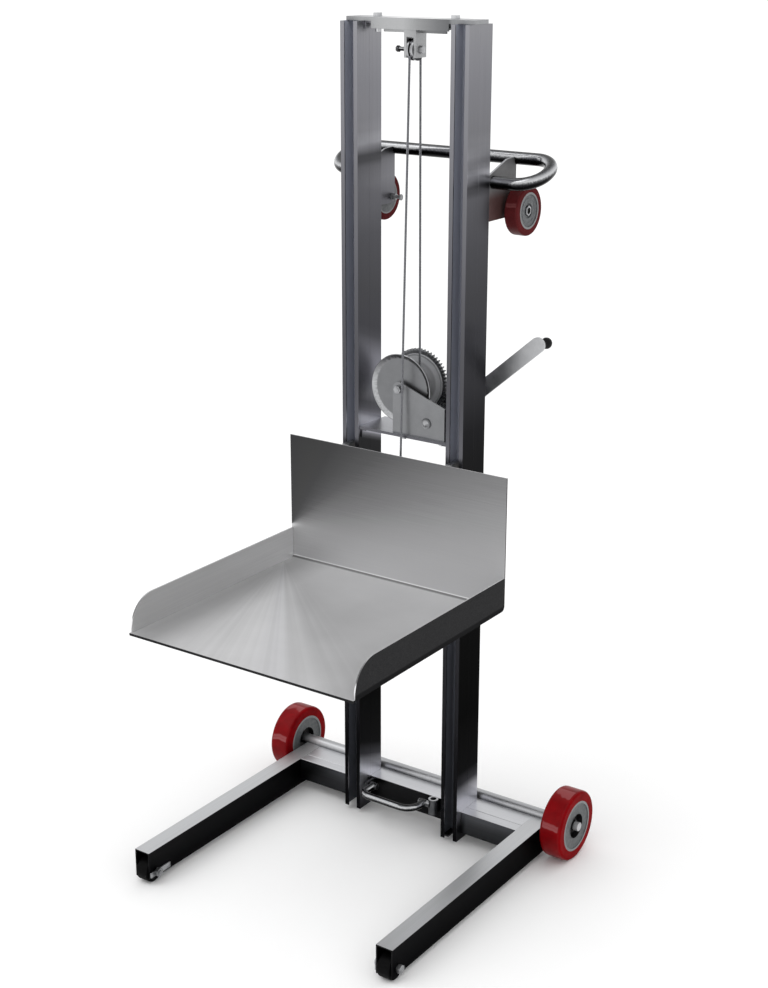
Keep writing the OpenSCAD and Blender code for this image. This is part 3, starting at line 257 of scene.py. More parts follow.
# the legs and beams: painted dark reflections on their upright faces, their heights in shares of TOP
LEG = {
    "side": [(0.0, "#0e0e0f"), (0.02, "#161617"), (0.05, "#1f1f20")],
    "front": [(0.0, "#161617"), (0.02, "#1e1e1f"), (0.05, "#232324")],
    "back": [(0.0, "#262627"), (0.05, "#303031")],
}
STRIP = dict(LEG, front=[(0.0, "#28282a"), (0.028, "#38393b"), (0.04, "#515256")])


def drawn_aluminium(name, grain, fade, level, roughness=0.34, bay=None):
    """Anodised drawn aluminium. The die leaves fine lines along the length, so the shine is streaked that way.
    fade holds the painted reflections of its upright faces from the floor up, level is the colour of its tops, and bay
    is the inside of a channel, painted lighter by height and nearly non-metallic against its shade: middle and half
    width across X and Y."""
    material, tree, spot, direction = blank(name)
    normal = add(tree, "SeparateXYZ", direction).node.outputs
    x, y, z = add(tree, "SeparateXYZ", spot).node.outputs
    rise = add(tree, "MapRange", z, 0.0, TOP)
    shown = {face: add(tree, "ValToRGB", rise, stops=fade[face]) for face in ("front", "back", "side")}
    side, metal = shown["side"], 1.0
    # the left column's inner side gets the painted reflections of the shelf and winch, and both columns the handle's
    # painted light and shade
    if "left" in fade:
        right = add(tree, "Math", x, 0.0, operation="GREATER_THAN")
        slanted = add(tree, "Math", y, SHELF_SLANT / TOP, rise, operation="MULTIPLY_ADD")
        slanted = add(tree, "Math", slanted, SHELF_SLANT * SHELF_REFLECTION_Y / TOP, operation="SUBTRACT")
        side = layered(tree, add(tree, "ValToRGB", slanted, stops=fade["left"]), (right, side))
        light = {column: over(tree, z, LIGHT_FROM, TOP, stops) for column, stops in PAINTED_HANDLE_SHADING.items()}
        side = tinted(tree, side, layered(tree, light["left"], (right, light["right"])))
    colour = layered(tree, shown["front"], (facing(tree, normal, "Y", 0.4, 0.6), shown["back"]),
                     (facing(tree, normal, "X"), side), (facing(tree, normal, "Z"), linear(level)))
    # painted light inside the channel, lighter by height and nearly non-metallic, against its own shade
    if bay:
        apart = add(tree, "Math", x, operation="ABSOLUTE")
        inside = [add(tree, "Math", apart, bay[0], bay[1], operation="COMPARE"),
                  add(tree, "Math", y, bay[2], bay[3], operation="COMPARE")]
        inside = add(tree, "Math", *inside, operation="MULTIPLY")
        colour = layered(tree, colour, (inside, add(tree, "ValToRGB", rise, stops=fade["bay"])))
        metal = add(tree, "MapRange", inside, 0.0, 1.0, 1.0, 0.05)
    lines = streaks(tree, spot, grain)
    colour = tinted(tree, colour, add(tree, "ValToRGB", lines, stops=[(0.3, 0.9), (0.7, 1.06)]))
    shade(tree, colour, (lines, roughness - 0.07, roughness + 0.09), (lines, 0.08, FINE), Metallic=metal,
          Specular_Tint=grey(0.5))
    return material


def bridge_aluminium():
    """Sawn and sanded aluminium channel. Sanding leaves a fine grain. Its top has a painted highlight towards the
    middle, and its faces painted reflections, lighter to the left and darker to the right.
    """
    material, tree, spot, direction = blank("sanded_aluminium_channel")
    normal = add(tree, "SeparateXYZ", direction).node.outputs
    x = add(tree, "SeparateXYZ", spot)
    along = add(tree, "MapRange", x, -0.15, 0.15)
    face = add(tree, "ValToRGB", along, stops=[(0.0, "#929395"), (0.13, "#acadae"), (0.3, "#b6b7b8"),
                                               (0.45, "#b8b9ba"), (0.57, "#9c9d9e"), (0.72, "#7e7f81"),
                                               (0.8, "#727375"), (0.82, "#909193"), (1.0, "#9c9d9f")])
    top = add(tree, "ValToRGB", along, stops=[(0.0, "#b6b7b9"), (0.22, "#cbccce"), (0.36, "#ededee"),
                                              (0.66, "#e6e7e7"), (0.8, "#bcbdbf"), (1.0, "#aeafb1")])
    grain = streaks(tree, spot, (2.2, 6, 0.9), detail=4.0)
    colour = tinted(tree, layered(tree, face, (facing(tree, normal, "Z"), top)),
                    add(tree, "ValToRGB", grain, stops=[(0.25, 0.78), (0.75, 1.16)]))
    shade(tree, colour, (grain, 0.34, 0.5), (grain, 0.12, FINE), Metallic=1.0)
    return material


def banded_metal(name, bands, grain, roughness):
    """Bright round metal. What stands round it is painted on as long bands of reflection by the way each face points,
    light above and dark below.
    """
    material, tree, spot, direction = blank(name)
    normal = add(tree, "SeparateXYZ", direction).node.outputs
    marks = streaks(tree, spot, grain, detail=4.0)
    shift = add(tree, "MapRange", marks, 0.0, 1.0, -0.17, 0.17)
    up = add(tree, "MapRange", add(tree, "Math", normal["Z"], shift, operation="ADD"), -1.0, 1.0)
    colour = tinted(tree, add(tree, "ValToRGB", up, stops=bands),
                    add(tree, "ValToRGB", marks, stops=[(0.3, 0.88), (0.7, 1.08)]))
    shade(tree, colour, (marks, roughness - 0.05, roughness + 0.08), (marks, 0.1, FINE), Metallic=1.0)
    return material


# painted reflections of chrome and ground steel, from faces that point down to faces that point up
CHROME_BANDS = [(0.0, "#0e0e0f"), (0.34, "#0f0f10"), (0.46, "#2c2c2e"), (0.55, "#626365"), (0.68, "#cecfd1"),
                (0.8, "#b3b4b6"), (0.9, "#6a6b6e"), (0.955, "#3a3b3c"), (1.0, "#1c1c1d")]
TURNED_BANDS = [(0.0, "#6f7072"), (0.38, "#7e7f81"), (0.5, "#9a9b9d"), (0.66, "#bcbdbf"), (0.8, "#c2c3c5"),
                (0.9, "#b7b8ba"), (1.0, "#a8a9ab")]

TRAY_HALF = 0.268
FAN_CENTRE = (-TRAY_HALF, AXLE_Y - 0.16, 0.0)
GLOW_CENTRE = (-TRAY_HALF, 0.0, 0.665)


def brushed_stainless():
    """Brushed stainless sheet, with a film of dust on the deck. The belt leaves lines across the tray. A fan of light
    is painted over the deck from its rear left corner, and painted shade over the back plate towards its upper left."""
    material, tree, spot, direction = blank("brushed_stainless")
    normal = add(tree, "SeparateXYZ", direction).node.outputs
    x, y, z = add(tree, "SeparateXYZ", spot).node.outputs
    lines = streaks(tree, spot, (160, 160, 1.3), detail=4.0)
    deck = facing(tree, normal, "Z")
    # deck: a painted fan of light from the rear left corner, with faint painted rays in it
    turn = add(tree, "Math", math.pi, angle_about(tree, spot, FAN_CENTRE, "Y", "X"), operation="SUBTRACT")
    fan = by_degrees(tree, turn, [(0, "#c5c5c6"), (12, "#c5c5c6"), (18, "#c6c6c7"), (24, "#c9c9ca"), (30, "#cdcdce"),
                                  (36, "#ccccce"), (41, "#c7c7c8"), (47, "#c4c4c5"), (52, "#c3c3c4"),
                                  (60, "#c8c8c9"), (90, "#cdcdce")])
    rays = add(tree, "TexNoise", add(tree, "Math", turn, 13.0, operation="MULTIPLY"), noise_dimensions="1D",
               in_Scale=1.6, in_Detail=3.0)
    rayed = add(tree, "ValToRGB", rays, stops=[(0.3, 0.95), (0.5, 1.0), (0.7, 1.05)])
    lit = by_degrees(tree, turn, [(8, 0), (22, 1), (44, 1), (58, 0)])
    # painted shade along the deck's left edge, beside the wall
    rim = over(tree, x, -TRAY_HALF, TRAY_HALF, [(-0.265, 1.0), (-0.245, 0.8), (-0.22, 0.77), (-0.19, 0.88),
                                                (-0.155, 1.0)])
    top = tinted(tree, layered(tree, fan, (lit, tinted(tree, fan, rayed))), rim)
    # back plate: painted light fades round a point on its left edge, with painted shade towards its top and painted
    # light towards its lower right
    wander = add(tree, "MapRange", lines, 0.0, 1.0, -0.12, 0.12)
    rise = add(tree, "Math", angle_about(tree, spot, GLOW_CENTRE, "X", "Z"), wander, operation="ADD")
    glow = by_degrees(tree, rise, [(-20, "#cccccd"), (0, "#c5c5c6"), (10, "#b2b2b3"), (20, "#969697"),
                                   (30, "#7e7e7f"), (40, "#646465"), (50, "#565657"), (60, "#4b4b4c"),
                                   (70, "#494949"), (90, "#444445")])
    plate = tinted(tree, glow, over(tree, z, 0.58, 0.87, [(0.7, 1.0), (0.78, 0.9), (0.86, 0.8)]))
    corner = over(tree, x, -TRAY_HALF, TRAY_HALF, [(-0.255, 0.98), (-0.18, 1.04), (-0.02, 1.1)])
    plate = layered(tree, plate, (by_degrees(tree, rise, [(-12, 1), (2, 0)]), tinted(tree, plate, corner)),
                    (facing(tree, normal, "Y", 0.4, 0.6), linear("#8a8a8b")))
    # side walls: inside, painted light and shade, lighter towards the back and the foot for an even grey on the left,
    # and darker on the right; outside dark with fine specks
    inner = over(tree, y, -0.38, 0.12, [(-0.337, 0.61), (-0.277, 0.65), (-0.197, 0.68), (-0.117, 0.72),
                                        (-0.037, 0.78), (0.023, 0.81), (0.083, 0.86), (0.118, 0.88)])
    inner = tinted(tree, inner, over(tree, x, -TRAY_HALF, TRAY_HALF, [(-0.2, 1.0), (0.2, 0.32)]),
                   over(tree, z, 0.58, 0.66, [(0.592, 1.14), (0.62, 1.05), (0.65, 0.97)]))
    specks = streaks(tree, spot, (1.6, 1.6, 1.6), detail=2.0)
    outer = layered(tree, add(tree, "ValToRGB", specks, stops=[(0.35, "#242425"), (0.65, "#363637")]),
                    (over(tree, z, 0.58, 0.62, [(0.595, 1), (0.598, 0)]), linear("#161617")))
    outward = add(tree, "Math", add(tree, "Math", x, operation="SIGN"), normal["X"], operation="MULTIPLY")
    walls = layered(tree, inner, (add(tree, "MapRange", outward, -0.2, 0.2), outer))
    # the bend has a painted highlight line over a line of painted shade
    bend = over(tree, normal["Z"], 0.0, 1.0, [(0.05, 1), (0.15, 1.5), (0.3, 1.45), (0.42, 0.3), (0.7, 0.22),
                                              (0.85, 0.4), (0.95, 0.8), (0.99, 1)])
    ahead = add(tree, "Math", normal["Y"], -0.02, operation="LESS_THAN")
    pressed = tinted(tree, layered(tree, plate, (deck, top)), layered(tree, grey(1), (ahead, bend)))
    colour = tinted(tree, layered(tree, pressed, (facing(tree, normal, "X"), walls)),
                    add(tree, "ValToRGB", lines, stops=[(0.3, 0.95), (0.7, 1.04)]))
    shade(tree, colour, (lines, 0.34, 0.48), (lines, 0.06, FINE), Specular_Tint=grey(0.5), Specular_IOR_Level=0.2,
          Metallic=add(tree, "MapRange", deck, 0.0, 1.0, 0.85, 0.45))
    return material


def zinc_plate(name, light, dark, roughness, rings=None, metal=1.0):
    """Bright zinc plated pressed steel. The plating gives a soft mottle and fine specks. rings are painted light and
    dark rings, the shading of a rolled flange, from the drum's axis outwards, in metres."""
    material, tree, spot, _ = blank(name)
    mottle = streaks(tree, spot, (26, 26, 26))
    specks = streaks(tree, spot, (0.8, 0.8, 0.8), detail=2.0)
    colour = add(tree, "ValToRGB", mottle, stops=[(0.3, dark), (0.7, light)])
    if rings:
        flat = add(tree, "VectorMath", spot, (1.0, 0.0, 1.0), operation="MULTIPLY")
        reach = add(tree, "VectorMath", flat, DRUM_AXIS, operation="DISTANCE")
        colour = tinted(tree, colour, over(tree, reach, 0.0, 0.08, rings))
    colour = tinted(tree, colour, add(tree, "ValToRGB", specks, stops=[(0.3, 0.94), (0.7, 1.05)]))
    shade(tree, colour, (mottle, roughness - 0.06, roughness + 0.08), (specks, 0.05, FINE), Metallic=metal)
    return material


def rolled_rim():
    """The drum's rolled rim. Its slope faces inwards, so it is painted with shade along its top and light along its
    lower left, by the way each face points.
    """
    material, tree, spot, direction = blank("zinc_plated_rim")
    lean = add(tree, "VectorMath", direction, (0.75, 0.0, 0.66), operation="DOT_PRODUCT")
    slope = over(tree, lean, -0.7, 0.7, [(-0.6, "#3c3c3d"), (-0.25, "#464647"), (-0.05, "#6e6e70"),
                                         (0.15, "#a3a4a6"), (0.4, "#b6b7b9"), (0.6, "#8c8d8f")])
    marks = streaks(tree, spot, (9, 9, 9))
    colour = tinted(tree, slope, add(tree, "ValToRGB", marks, stops=[(0.3, 0.95), (0.7, 1.04)]))
    shade(tree, colour, 0.3, Metallic=1.0)
    return material


def cast_polyurethane(name, bright, deep, painted_highlight, roughness):
    """Cast polyurethane tread. Running polishes it and gives it faint rings. Two soft boxes are painted on it as
    highlight bands, one along its top and one low in front. Its side faces stay satin."""
    material, tree, spot, direction = blank(name)
    normal = add(tree, "SeparateXYZ", direction).node.outputs
    cloud = streaks(tree, spot, (30, 30, 30), detail=4.0)
    rings = streaks(tree, spot, (1.5, 60, 60))
    blocks = streaks(tree, spot, (14, 400, 400), detail=0.0)
    shift = add(tree, "MapRange", blocks, 0.0, 1.0, -0.05, 0.05)
    height = add(tree, "Math", normal["Z"], shift, operation="ADD")
    # painted highlights of two soft boxes, by the way each face of the tread points
    bands = over(tree, height, -1.0, 1.1, [(0.22, 0), (0.245, 1), (0.31, 0.8), (0.315, 0.3), (0.325, 0.9),
                                           (0.38, 0.7), (0.4, 0), (0.955, 0), (0.97, 0.7), (1.0, 0.7)])
    before = add(tree, "Math", normal["Y"], 0.03, operation="LESS_THAN")
    tread = add(tree, "MapRange", facing(tree, normal, "X", 0.05, 0.2), 0.0, 1.0, 1.0, 0.0)
    shown = add(tree, "Math", add(tree, "Math", before, tread, operation="MULTIPLY"), bands, operation="MULTIPLY")
    colour = layered(tree, add(tree, "ValToRGB", cloud, stops=[(0.3, deep), (0.7, bright)]), (shown, linear(painted_highlight)))
    shade(tree, colour, (rings, roughness - 0.06, roughness + 0.08), (rings, 0.04, FINE), IOR=1.5,
          Specular_IOR_Level=add(tree, "MapRange", facing(tree, normal, "X"), 0.0, 1.0, 0.07, 0.01))
    return material


def moulded_plastic(name, light, dark, roughness, shine=0.3):
    """Injection moulded plastic. A spark-eroded mould gives it a fine, even grain."""
    material, tree, spot, _ = blank(name)
    cloud = streaks(tree, spot, (7, 7, 7), detail=4.0)
    grain = streaks(tree, spot, (0.7, 0.7, 0.7), detail=1.0)
    colour = add(tree, "ValToRGB", cloud, stops=[(0.3, dark), (0.7, light)])
    shade(tree, colour, (grain, roughness - 0.08, roughness + 0.08), (grain, 0.12, FINE), IOR=1.46,
          Specular_IOR_Level=shine)
    return material


def wire_rope():
    """Galvanised wire rope. Grease and dirt dull its wires, and their crowns are worn bright."""
    material, tree, spot, _ = blank("wire_rope")
    wires = streaks(tree, spot, (0.9, 0.9, 2.5))
    colour = add(tree, "ValToRGB", wires, stops=[(0.3, "#6e6f73"), (0.7, "#a6a7ab")])
    shade(tree, colour, 0.4, (wires, 0.25, 0.0003), Metallic=1.0)
    return material


def plate_with_painted_tyre_reflection():
    """Aluminium plate beside a tyre: plain above, with a painted red brown reflection of the tread below."""
    material, tree, spot, _ = blank("rubbed_aluminium_plate")
    height = add(tree, "SeparateXYZ", spot).node.outputs["Z"]
    painted_tyre_reflection = over(tree, height, 1.3, 1.5, [(1.385, "#49302e"), (1.405, "#5a5a5b")])
    cloud = add(tree, "ValToRGB", streaks(tree, spot, (26, 26, 26)), stops=[(0.3, 0.8), (0.7, 1.15)])
    shade(tree, tinted(tree, painted_tyre_reflection, cloud), 0.5, Metallic=0.15)
    return material


DRUM_AXIS = (-0.012, 0.0, 0.9965)
# the inside of the rail channels: middle and half width across X, then along Y
RAIL_BAY = (0.128, 0.0181, AXLE_Y - 0.08337, 0.0184)
FINISHES = {
    "shelf": drawn_aluminium("rolled_aluminium_shelf", (220, 0.9, 0.9), FADE, "#cdced2"),
    "mast": drawn_aluminium("anodised_aluminium_rail", (0.8, 0.8, 260), FADE, "#b4b5b8", bay=RAIL_BAY),
    "leg": drawn_aluminium("drawn_aluminium_leg", (0.9, 220, 0.9), LEG, "#cacbcd", 0.4),
    "left_leg": drawn_aluminium("drawn_aluminium_left_leg", (0.9, 220, 0.9), LEG, "#cbccce", 0.4),
    "beam": drawn_aluminium("drawn_aluminium_beam", (220, 0.9, 0.9), LEG, "#d2d3d6", 0.32),
    "strip": drawn_aluminium("drawn_aluminium_strip", (220, 0.9, 0.9), STRIP, "#cfd0d3", 0.32),
    "bridge": bridge_aluminium(),
    "chrome": banded_metal("chrome_plated_tube", CHROME_BANDS, (3.2, 3.2, 3.2), 0.16),
    "turned": banded_metal("ground_steel_bar", TURNED_BANDS, (0.8, 60, 60), 0.36),
    "stainless": brushed_stainless(),
    "zinc": zinc_plate("zinc_plated_steel", "#8a8b8d", "#818284", 0.4),
    "drum": zinc_plate("zinc_plated_drum", "#7f8082", "#77787a", 0.4),
    "drum_rim": rolled_rim(),
    # the back flange deep in the winch: painted lighter and less metallic against its shade, with painted light and
    # dark rings
    "drum_back": zinc_plate("rolled_zinc_flange", "#d2d3d6", "#c8c9cc", 0.4,
                            [(0.024, 0.4), (0.03, 1.0), (0.042, 0.75), (0.047, 1.1),
                             (0.055, 0.95), (0.057, 0.45), (0.059, 0.8), (0.06, 1.1)], 0.25),
    # the gear's face: painted light and dark rings
    "gear": zinc_plate("zinc_plated_gear", "#7c7d7f", "#6c6d6f", 0.4,
                       [(0.06, 1.0), (0.064, 0.7), (0.067, 1.3), (0.071, 0.8)]),
    "zinc_light": zinc_plate("bright_zinc_bar", "#bfc0c2", "#aeafb1", 0.35),
    "bolt": zinc_plate("zinc_plated_bolts", "#bcbdbf", "#929395", 0.3),
    "bolt_bright": zinc_plate("bright_zinc_bolts", "#e2e3e5", "#b9babc", 0.25),
    "gusset_out": plate_with_painted_tyre_reflection(),
    # a lighter, less metallic copy of the zinc: painted light for ends that sit in shade
    "stub": zinc_plate("bright_axle_end", "#c6c7c9", "#a0a1a3", 0.3, metal=0.4),
    "rod": zinc_plate("zinc_plated_rod", "#9fa0a2", "#858688", 0.35, metal=0.5),
    "keeper": zinc_plate("bright_zinc_keeper", "#b2b3b5", "#6c6d6f", 0.35),
    "dull": zinc_plate("dull_zinc_plate", "#6a6b6d", "#4b4c4e", 0.38),
    "dark": zinc_plate("phosphated_steel", "#3f4043", "#2a2b2d", 0.42),
    "rope": wire_rope(),
    "red": cast_polyurethane("red_polyurethane", "#850a10", "#6c080d", "#985052", 0.3),
    "maroon": cast_polyurethane("maroon_polyurethane", "#5a2022", "#48181a", "#6f3c3d", 0.34),
    "hub": moulded_plastic("grey_nylon_hub", "#606364", "#484b4c", 0.45),
    "upper_hub": moulded_plastic("dark_grey_nylon_hub", "#67696b", "#494b4d", 0.45),
    "hub_rim": moulded_plastic("grey_nylon_rim", "#808283", "#707273", 0.4),
    "black": moulded_plastic("black_nylon", "#141415", "#0d0d0e", 0.42, 0.15),
    "roller": moulded_plastic("black_nylon_roller", "#0d0d0e", "#080808", 0.5, 0.05),
    "natural": moulded_plastic("natural_nylon", "#dedcd4", "#cfcdc5", 0.4),
}


# Pieces


def finish_piece(piece, body, finish):
    piece.data.materials.clear()
    piece.data.materials.append(FINISHES[finish])
    if body:
        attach(piece, body)
    return piece


def apply_modifier(piece, kind, **settings):
    choose(piece)
    modifier = piece.modifiers.new(kind.lower(), kind)
    for key, value in settings.items():
        setattr(modifier, key, value)
    bpy.ops.object.modifier_apply(modifier=modifier.name)


def break_edges(piece, millimetres):
    apply_modifier(piece, "BEVEL", width=millimetres * MM, segments=2, limit_method="ANGLE",
                   angle_limit=math.radians(34), use_clamp_overlap=True)


def smooth(piece, degrees=32):
    choose(piece)
    bpy.ops.object.shade_smooth_by_angle(angle=math.radians(degrees))


def settle(name):
    """Names the chosen new piece and puts its place into its mesh."""
    piece = bpy.context.object
    piece.name = piece.data.name = name
    bpy.ops.object.transform_apply(location=True, rotation=True, scale=True)
    return piece


def rounded(node, finish, edge_mm):
    """A node's own solid with its sharp edges broken, as the real one's are."""
    source = NODES[node]
    piece = source.copy()
    piece.data = source.data.copy()
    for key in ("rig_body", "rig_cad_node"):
        if key in piece:
            del piece[key]
    piece.name = piece.data.name = node + "_finished"
    piece.parent = None
    piece.matrix_world = Matrix.Identity(4)
    bpy.context.scene.collection.objects.link(piece)
    choose(piece)
    bpy.ops.object.mode_set(mode="EDIT")
    bpy.ops.mesh.select_all(action="SELECT")
    bpy.ops.mesh.remove_doubles(threshold=0.01 * MM)
    bpy.ops.mesh.dissolve_limited(angle_limit=math.radians(0.5))
    bpy.ops.object.mode_set(mode="OBJECT")
    if edge_mm:
        break_edges(piece, edge_mm)
    smooth(piece)
    apply_modifier(piece, "WEIGHTED_NORMAL", keep_sharp=True)
    finish_piece(piece, BODY_OF[node], finish)
    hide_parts(node)
    return piece


# finish, and the width of the broken edges in millimetres
ROUNDED = {
    "left_leg": ("left_leg", 1.2), "right_leg": ("leg", 1.2), "cross_member": ("beam", 1.2),
    "front_strips": ("strip", 1.0), "axle_saddle": ("beam", 1.0), "left_rail": ("mast", 0.4),
    "right_rail": ("mast", 0.4), "mast_tubes": ("mast", 0.5), "rail_stops": ("dark", 0.5),
    "top_bridge": ("bridge", 0.8), "column_brackets": ("mast", 0.6), "frame_bolts": ("bolt_bright", 0.5),
    "pulley_clevis": ("bridge", 0.8), "winch_shelf": ("shelf", 0.6), "winch_frame": ("zinc", 0.8),
    "pawl_pin": ("bolt", 0.4), "front_roller_bolts": ("keeper", 0.5), "bail_ear": ("dark", 0.6),
    "bail_bolts": ("dull", 0.4), "brake_discs": ("dark", 0.3), "ratchet_wheel": ("zinc", 0.3),
    "crank_arm": ("zinc_light", 0.9), "crank_nut": ("bolt", 0.5), "grip_pin": ("bolt", 0.3), "pawl": ("zinc", 0.4),
    "tray_side_walls": ("stainless", 0.7), "carriage_arms": ("zinc", 0.8), "carriage_bar": ("zinc", 0.8),
    "roller_pins": ("bolt", 0.4), "cable_anchor": ("bolt", 0.6), "upper_carriage_rollers": ("natural", 0.6),
    "lower_carriage_rollers": ("natural", 0.6), "left_front_roller": ("roller", 0.0),
    "right_front_roller": ("roller", 0.0), "foot_bail": ("chrome", 0.0), "handle_tube": ("chrome", 0.0),
    "grip": ("black", 0.0), "left_rear_tyre": ("red", 0.0), "right_rear_tyre": ("red", 0.0),
    "left_upper_tyre": ("maroon", 0.0), "right_upper_tyre": ("maroon", 0.0), "cable_winding": ("rope", 0.0),
}
for node, (finish, edge) in ROUNDED.items():
    rounded(node, finish, edge)


# Tools for shaping and painting faces


def select_faces(piece, test):
    """Selects the faces whose centre and normal pass a test, in edit mode."""
    mesh = bmesh.from_edit_mesh(piece.data)
    for face in mesh.faces:
        face.select_set(bool(test(face.calc_center_median() / MM, face.normal)))
    mesh.select_flush_mode()
    bmesh.update_edit_mesh(piece.data)


def paint(piece, finish, test):
    """Gives another material to the faces that pass a test."""
    piece.data.materials.append(FINISHES[finish])
    slot = len(piece.data.materials) - 1
    for face in piece.data.polygons:
        if test(face.center / MM, face.normal):
            face.material_index = slot


def edit(piece):
    choose(piece)
    bpy.ops.object.mode_set(mode="EDIT")
    bpy.ops.mesh.select_mode(type="FACE")


def turned_disc(name, radius, start_x, end_x, y, z):
    deselect()
    bpy.ops.mesh.primitive_cylinder_add(
        vertices=96, radius=radius * MM, depth=(end_x - start_x) * MM,
        location=((start_x + end_x) / 2 * MM, y * MM, z * MM), rotation=(0, math.pi / 2, 0))
    return settle(name)


def step_face(piece, x, steps):
    """Works a round end face at x in steps: each is a ring's width and its depth."""
    edit(piece)
    select_faces(piece, lambda centre, normal: abs(centre.x - x) < 0.01 and abs(normal.x) > 0.9)
    for width, depth in steps:
        bpy.ops.mesh.inset(thickness=width * MM)
        if depth:
            bpy.ops.mesh.extrude_region_move(TRANSFORM_OT_translate={"value": (depth * MM, 0, 0)})
    bpy.ops.object.mode_set(mode="OBJECT")


def across(centre, y, z):
    return math.hypot(centre.y - y, centre.z - z)


# Tray: the sheet's cut edge in front is dark, over a thin hem

DECK_FRONT, DECK_TOP = AXLE_Y / MM - 640.0, 589.0
HEM_SIZE = (536.0, 1.4, 5.0)
HEM_PLACE = (0.0, DECK_FRONT - 6.3, DECK_TOP - 2.7)
sheet = rounded("tray_sheet", "stainless", 0.5)
paint(sheet, "black", lambda centre, normal: normal.y < -0.5 and centre.z < DECK_TOP and centre.y < DECK_FRONT)

deselect()
bpy.ops.mesh.primitive_cube_add(size=1, location=[c * MM for c in HEM_PLACE], scale=[c * MM for c in HEM_SIZE])
finish_piece(settle("deck_hem"), BODY_OF["tray_sheet"], "black")

# Winch drum and gear

DRUM_X, DRUM_Z = DRUM_AXIS[0] / MM, DRUM_AXIS[2] / MM
DISH_BACK, DRUM_RIM_R, GEAR_ROOT = AXLE_Y / MM - 80.0, 60.5, 72.0


def off_drum_axis(centre):
    return math.hypot(centre.x - DRUM_X, centre.z - DRUM_Z)


drum = rounded("winch_drum", "drum", 0.5)
# the rim gets its painted light and shade, and the back flange its painted light and rings
paint(drum, "drum_rim", lambda centre, normal: centre.y < DISH_BACK and off_drum_axis(centre) > DRUM_RIM_R)
paint(drum, "drum_back", lambda centre, normal: centre.y > DISH_BACK)
gear = rounded("drum_gear", "gear", 0.25)
paint(gear, "rod", lambda centre, normal: abs(normal.y) < 0.5 and off_drum_axis(centre) > GEAR_ROOT)


def ring_end(piece, finish, steps):
    """Works the round end that faces the front, and gives what is left in its middle another finish."""
    front = min(v.co.y for v in piece.data.vertices) / MM
    edit(piece)
    select_faces(piece, lambda centre, normal: normal.y < -0.98 and centre.y < front + 0.3)
    for width, depth in steps:
        bpy.ops.mesh.inset(thickness=width * MM, depth=depth * MM)
    chosen = [face.select for face in bmesh.from_edit_mesh(piece.data).faces]
    bpy.ops.object.mode_set(mode="OBJECT")
    piece.data.materials.append(FINISHES[finish])
    for face, inside in zip(piece.data.polygons, chosen):
        if inside:
            face.material_index = len(piece.data.materials) - 1


rounded("drum_shaft", "bolt", 0.5)
pinion = rounded("pinion_shaft", "zinc", 0.2)
ring_end(pinion, "bolt", [(0.8, 0.0), (0.4, -0.5), (2.6, 0.0), (0.5, 0.5)])

sleeve = rounded("post_sleeve", "dull", 0.6)
# painted light: the sleeve's top faces get a lighter finish than its sides
paint(sleeve, "bolt", lambda centre, normal: normal.z > 0.5)

sheave = rounded("sheave", "dark", 0.3)
# painted highlights: the sheave's rims, the faces that don't look along X, get the brighter bolt finish
paint(sheave, "bolt", lambda centre, normal: abs(normal.x) < 0.6)
sheave_bolt = rounded("sheave_bolt", "chrome", 0.4)
# the right end of the sheave bolt gets the painted light of the stub finish
paint(sheave_bolt, "stub", lambda centre, normal: centre.x > 0)

# Wheels: hubs and the ends of their axles

AXLE = (AXLE_Y / MM, 76.2)
HUB_R, HUB_IN, HUB_OUT, STUB_R = 55.0, 334.5, 384.5, 9.5
RECESS_R, RECESS_DEEP = 26.5, 12.0


def rear_hub(side):
    """Nylon hub: a rim, a shallow web with a bead, and a deep recess lined in black round the axle on both faces."""
    node = "left_rear_hub" if side < 0 else "right_rear_hub"
    inner, outer = sorted((side * HUB_IN, side * HUB_OUT))
    piece = turned_disc(node + "_moulded", HUB_R, inner, outer, *AXLE)
    for x, inward in ((inner, 1), (outer, -1)):
        step_face(piece, x, [(0.6, 0.0), (3.6, 0.0), (1.0, inward * 1.6), (HUB_R - 5.2 - RECESS_R - 3.0, 0.0),
                             (1.0, -inward * 0.6), (2.0, inward * RECESS_DEEP), (RECESS_R - STUB_R - 1.6, 0.0)])
    edit(piece)
    select_faces(piece, lambda centre, normal: abs(normal.x) > 0.9 and across(centre, *AXLE) < 1.0)
    bpy.ops.mesh.bridge_edge_loops()
    bpy.ops.object.mode_set(mode="OBJECT")
    break_edges(piece, 0.3)
    smooth(piece)
    finish_piece(piece, BODY_OF[node], "hub")
    paint(piece, "hub_rim", lambda centre, normal: across(centre, *AXLE) > HUB_R - 5.0)
    paint(piece, "black", lambda centre, normal: across(centre, *AXLE) < RECESS_R + 0.6)
    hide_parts(node)


UPPER = (AXLE_Y / MM + 70.4, 1355.7)
UPPER_HUB_R, UPPER_IN, UPPER_OUT = 36.5, 156.5, 186.1


def upper_hub(side):
    """Nylon hub with a rim, a bead and a shallow dish round its bolt."""
    node = "left_upper_hub" if side < 0 else "right_upper_hub"
    inner, outer = sorted((side * UPPER_IN, side * UPPER_OUT))
    piece = turned_disc(node + "_moulded", UPPER_HUB_R, inner, outer, *UPPER)
    far, near_face = (inner, outer) if side < 0 else (outer, inner)
    inward = -side
    step_face(piece, far, [(0.5, 0.0), (2.6, 0.0), (1.2, inward * 2.2), (6.0, 0.0), (0.6, -inward * 0.6),
                           (1.2, 0.0), (0.6, inward * 0.6), (7.6, 0.0), (1.6, inward * 3.6)])
    step_face(piece, near_face, [(0.5, 0.0), (2.6, 0.0)])
    break_edges(piece, 0.25)
    smooth(piece)
    finish_piece(piece, BODY_OF[node], "upper_hub")
    paint(piece, "hub_rim", lambda centre, normal: across(centre, *UPPER) > UPPER_HUB_R - 3.6)
    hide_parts(node)


for side in (-1, 1):
    rear_hub(side)
    upper_hub(side)

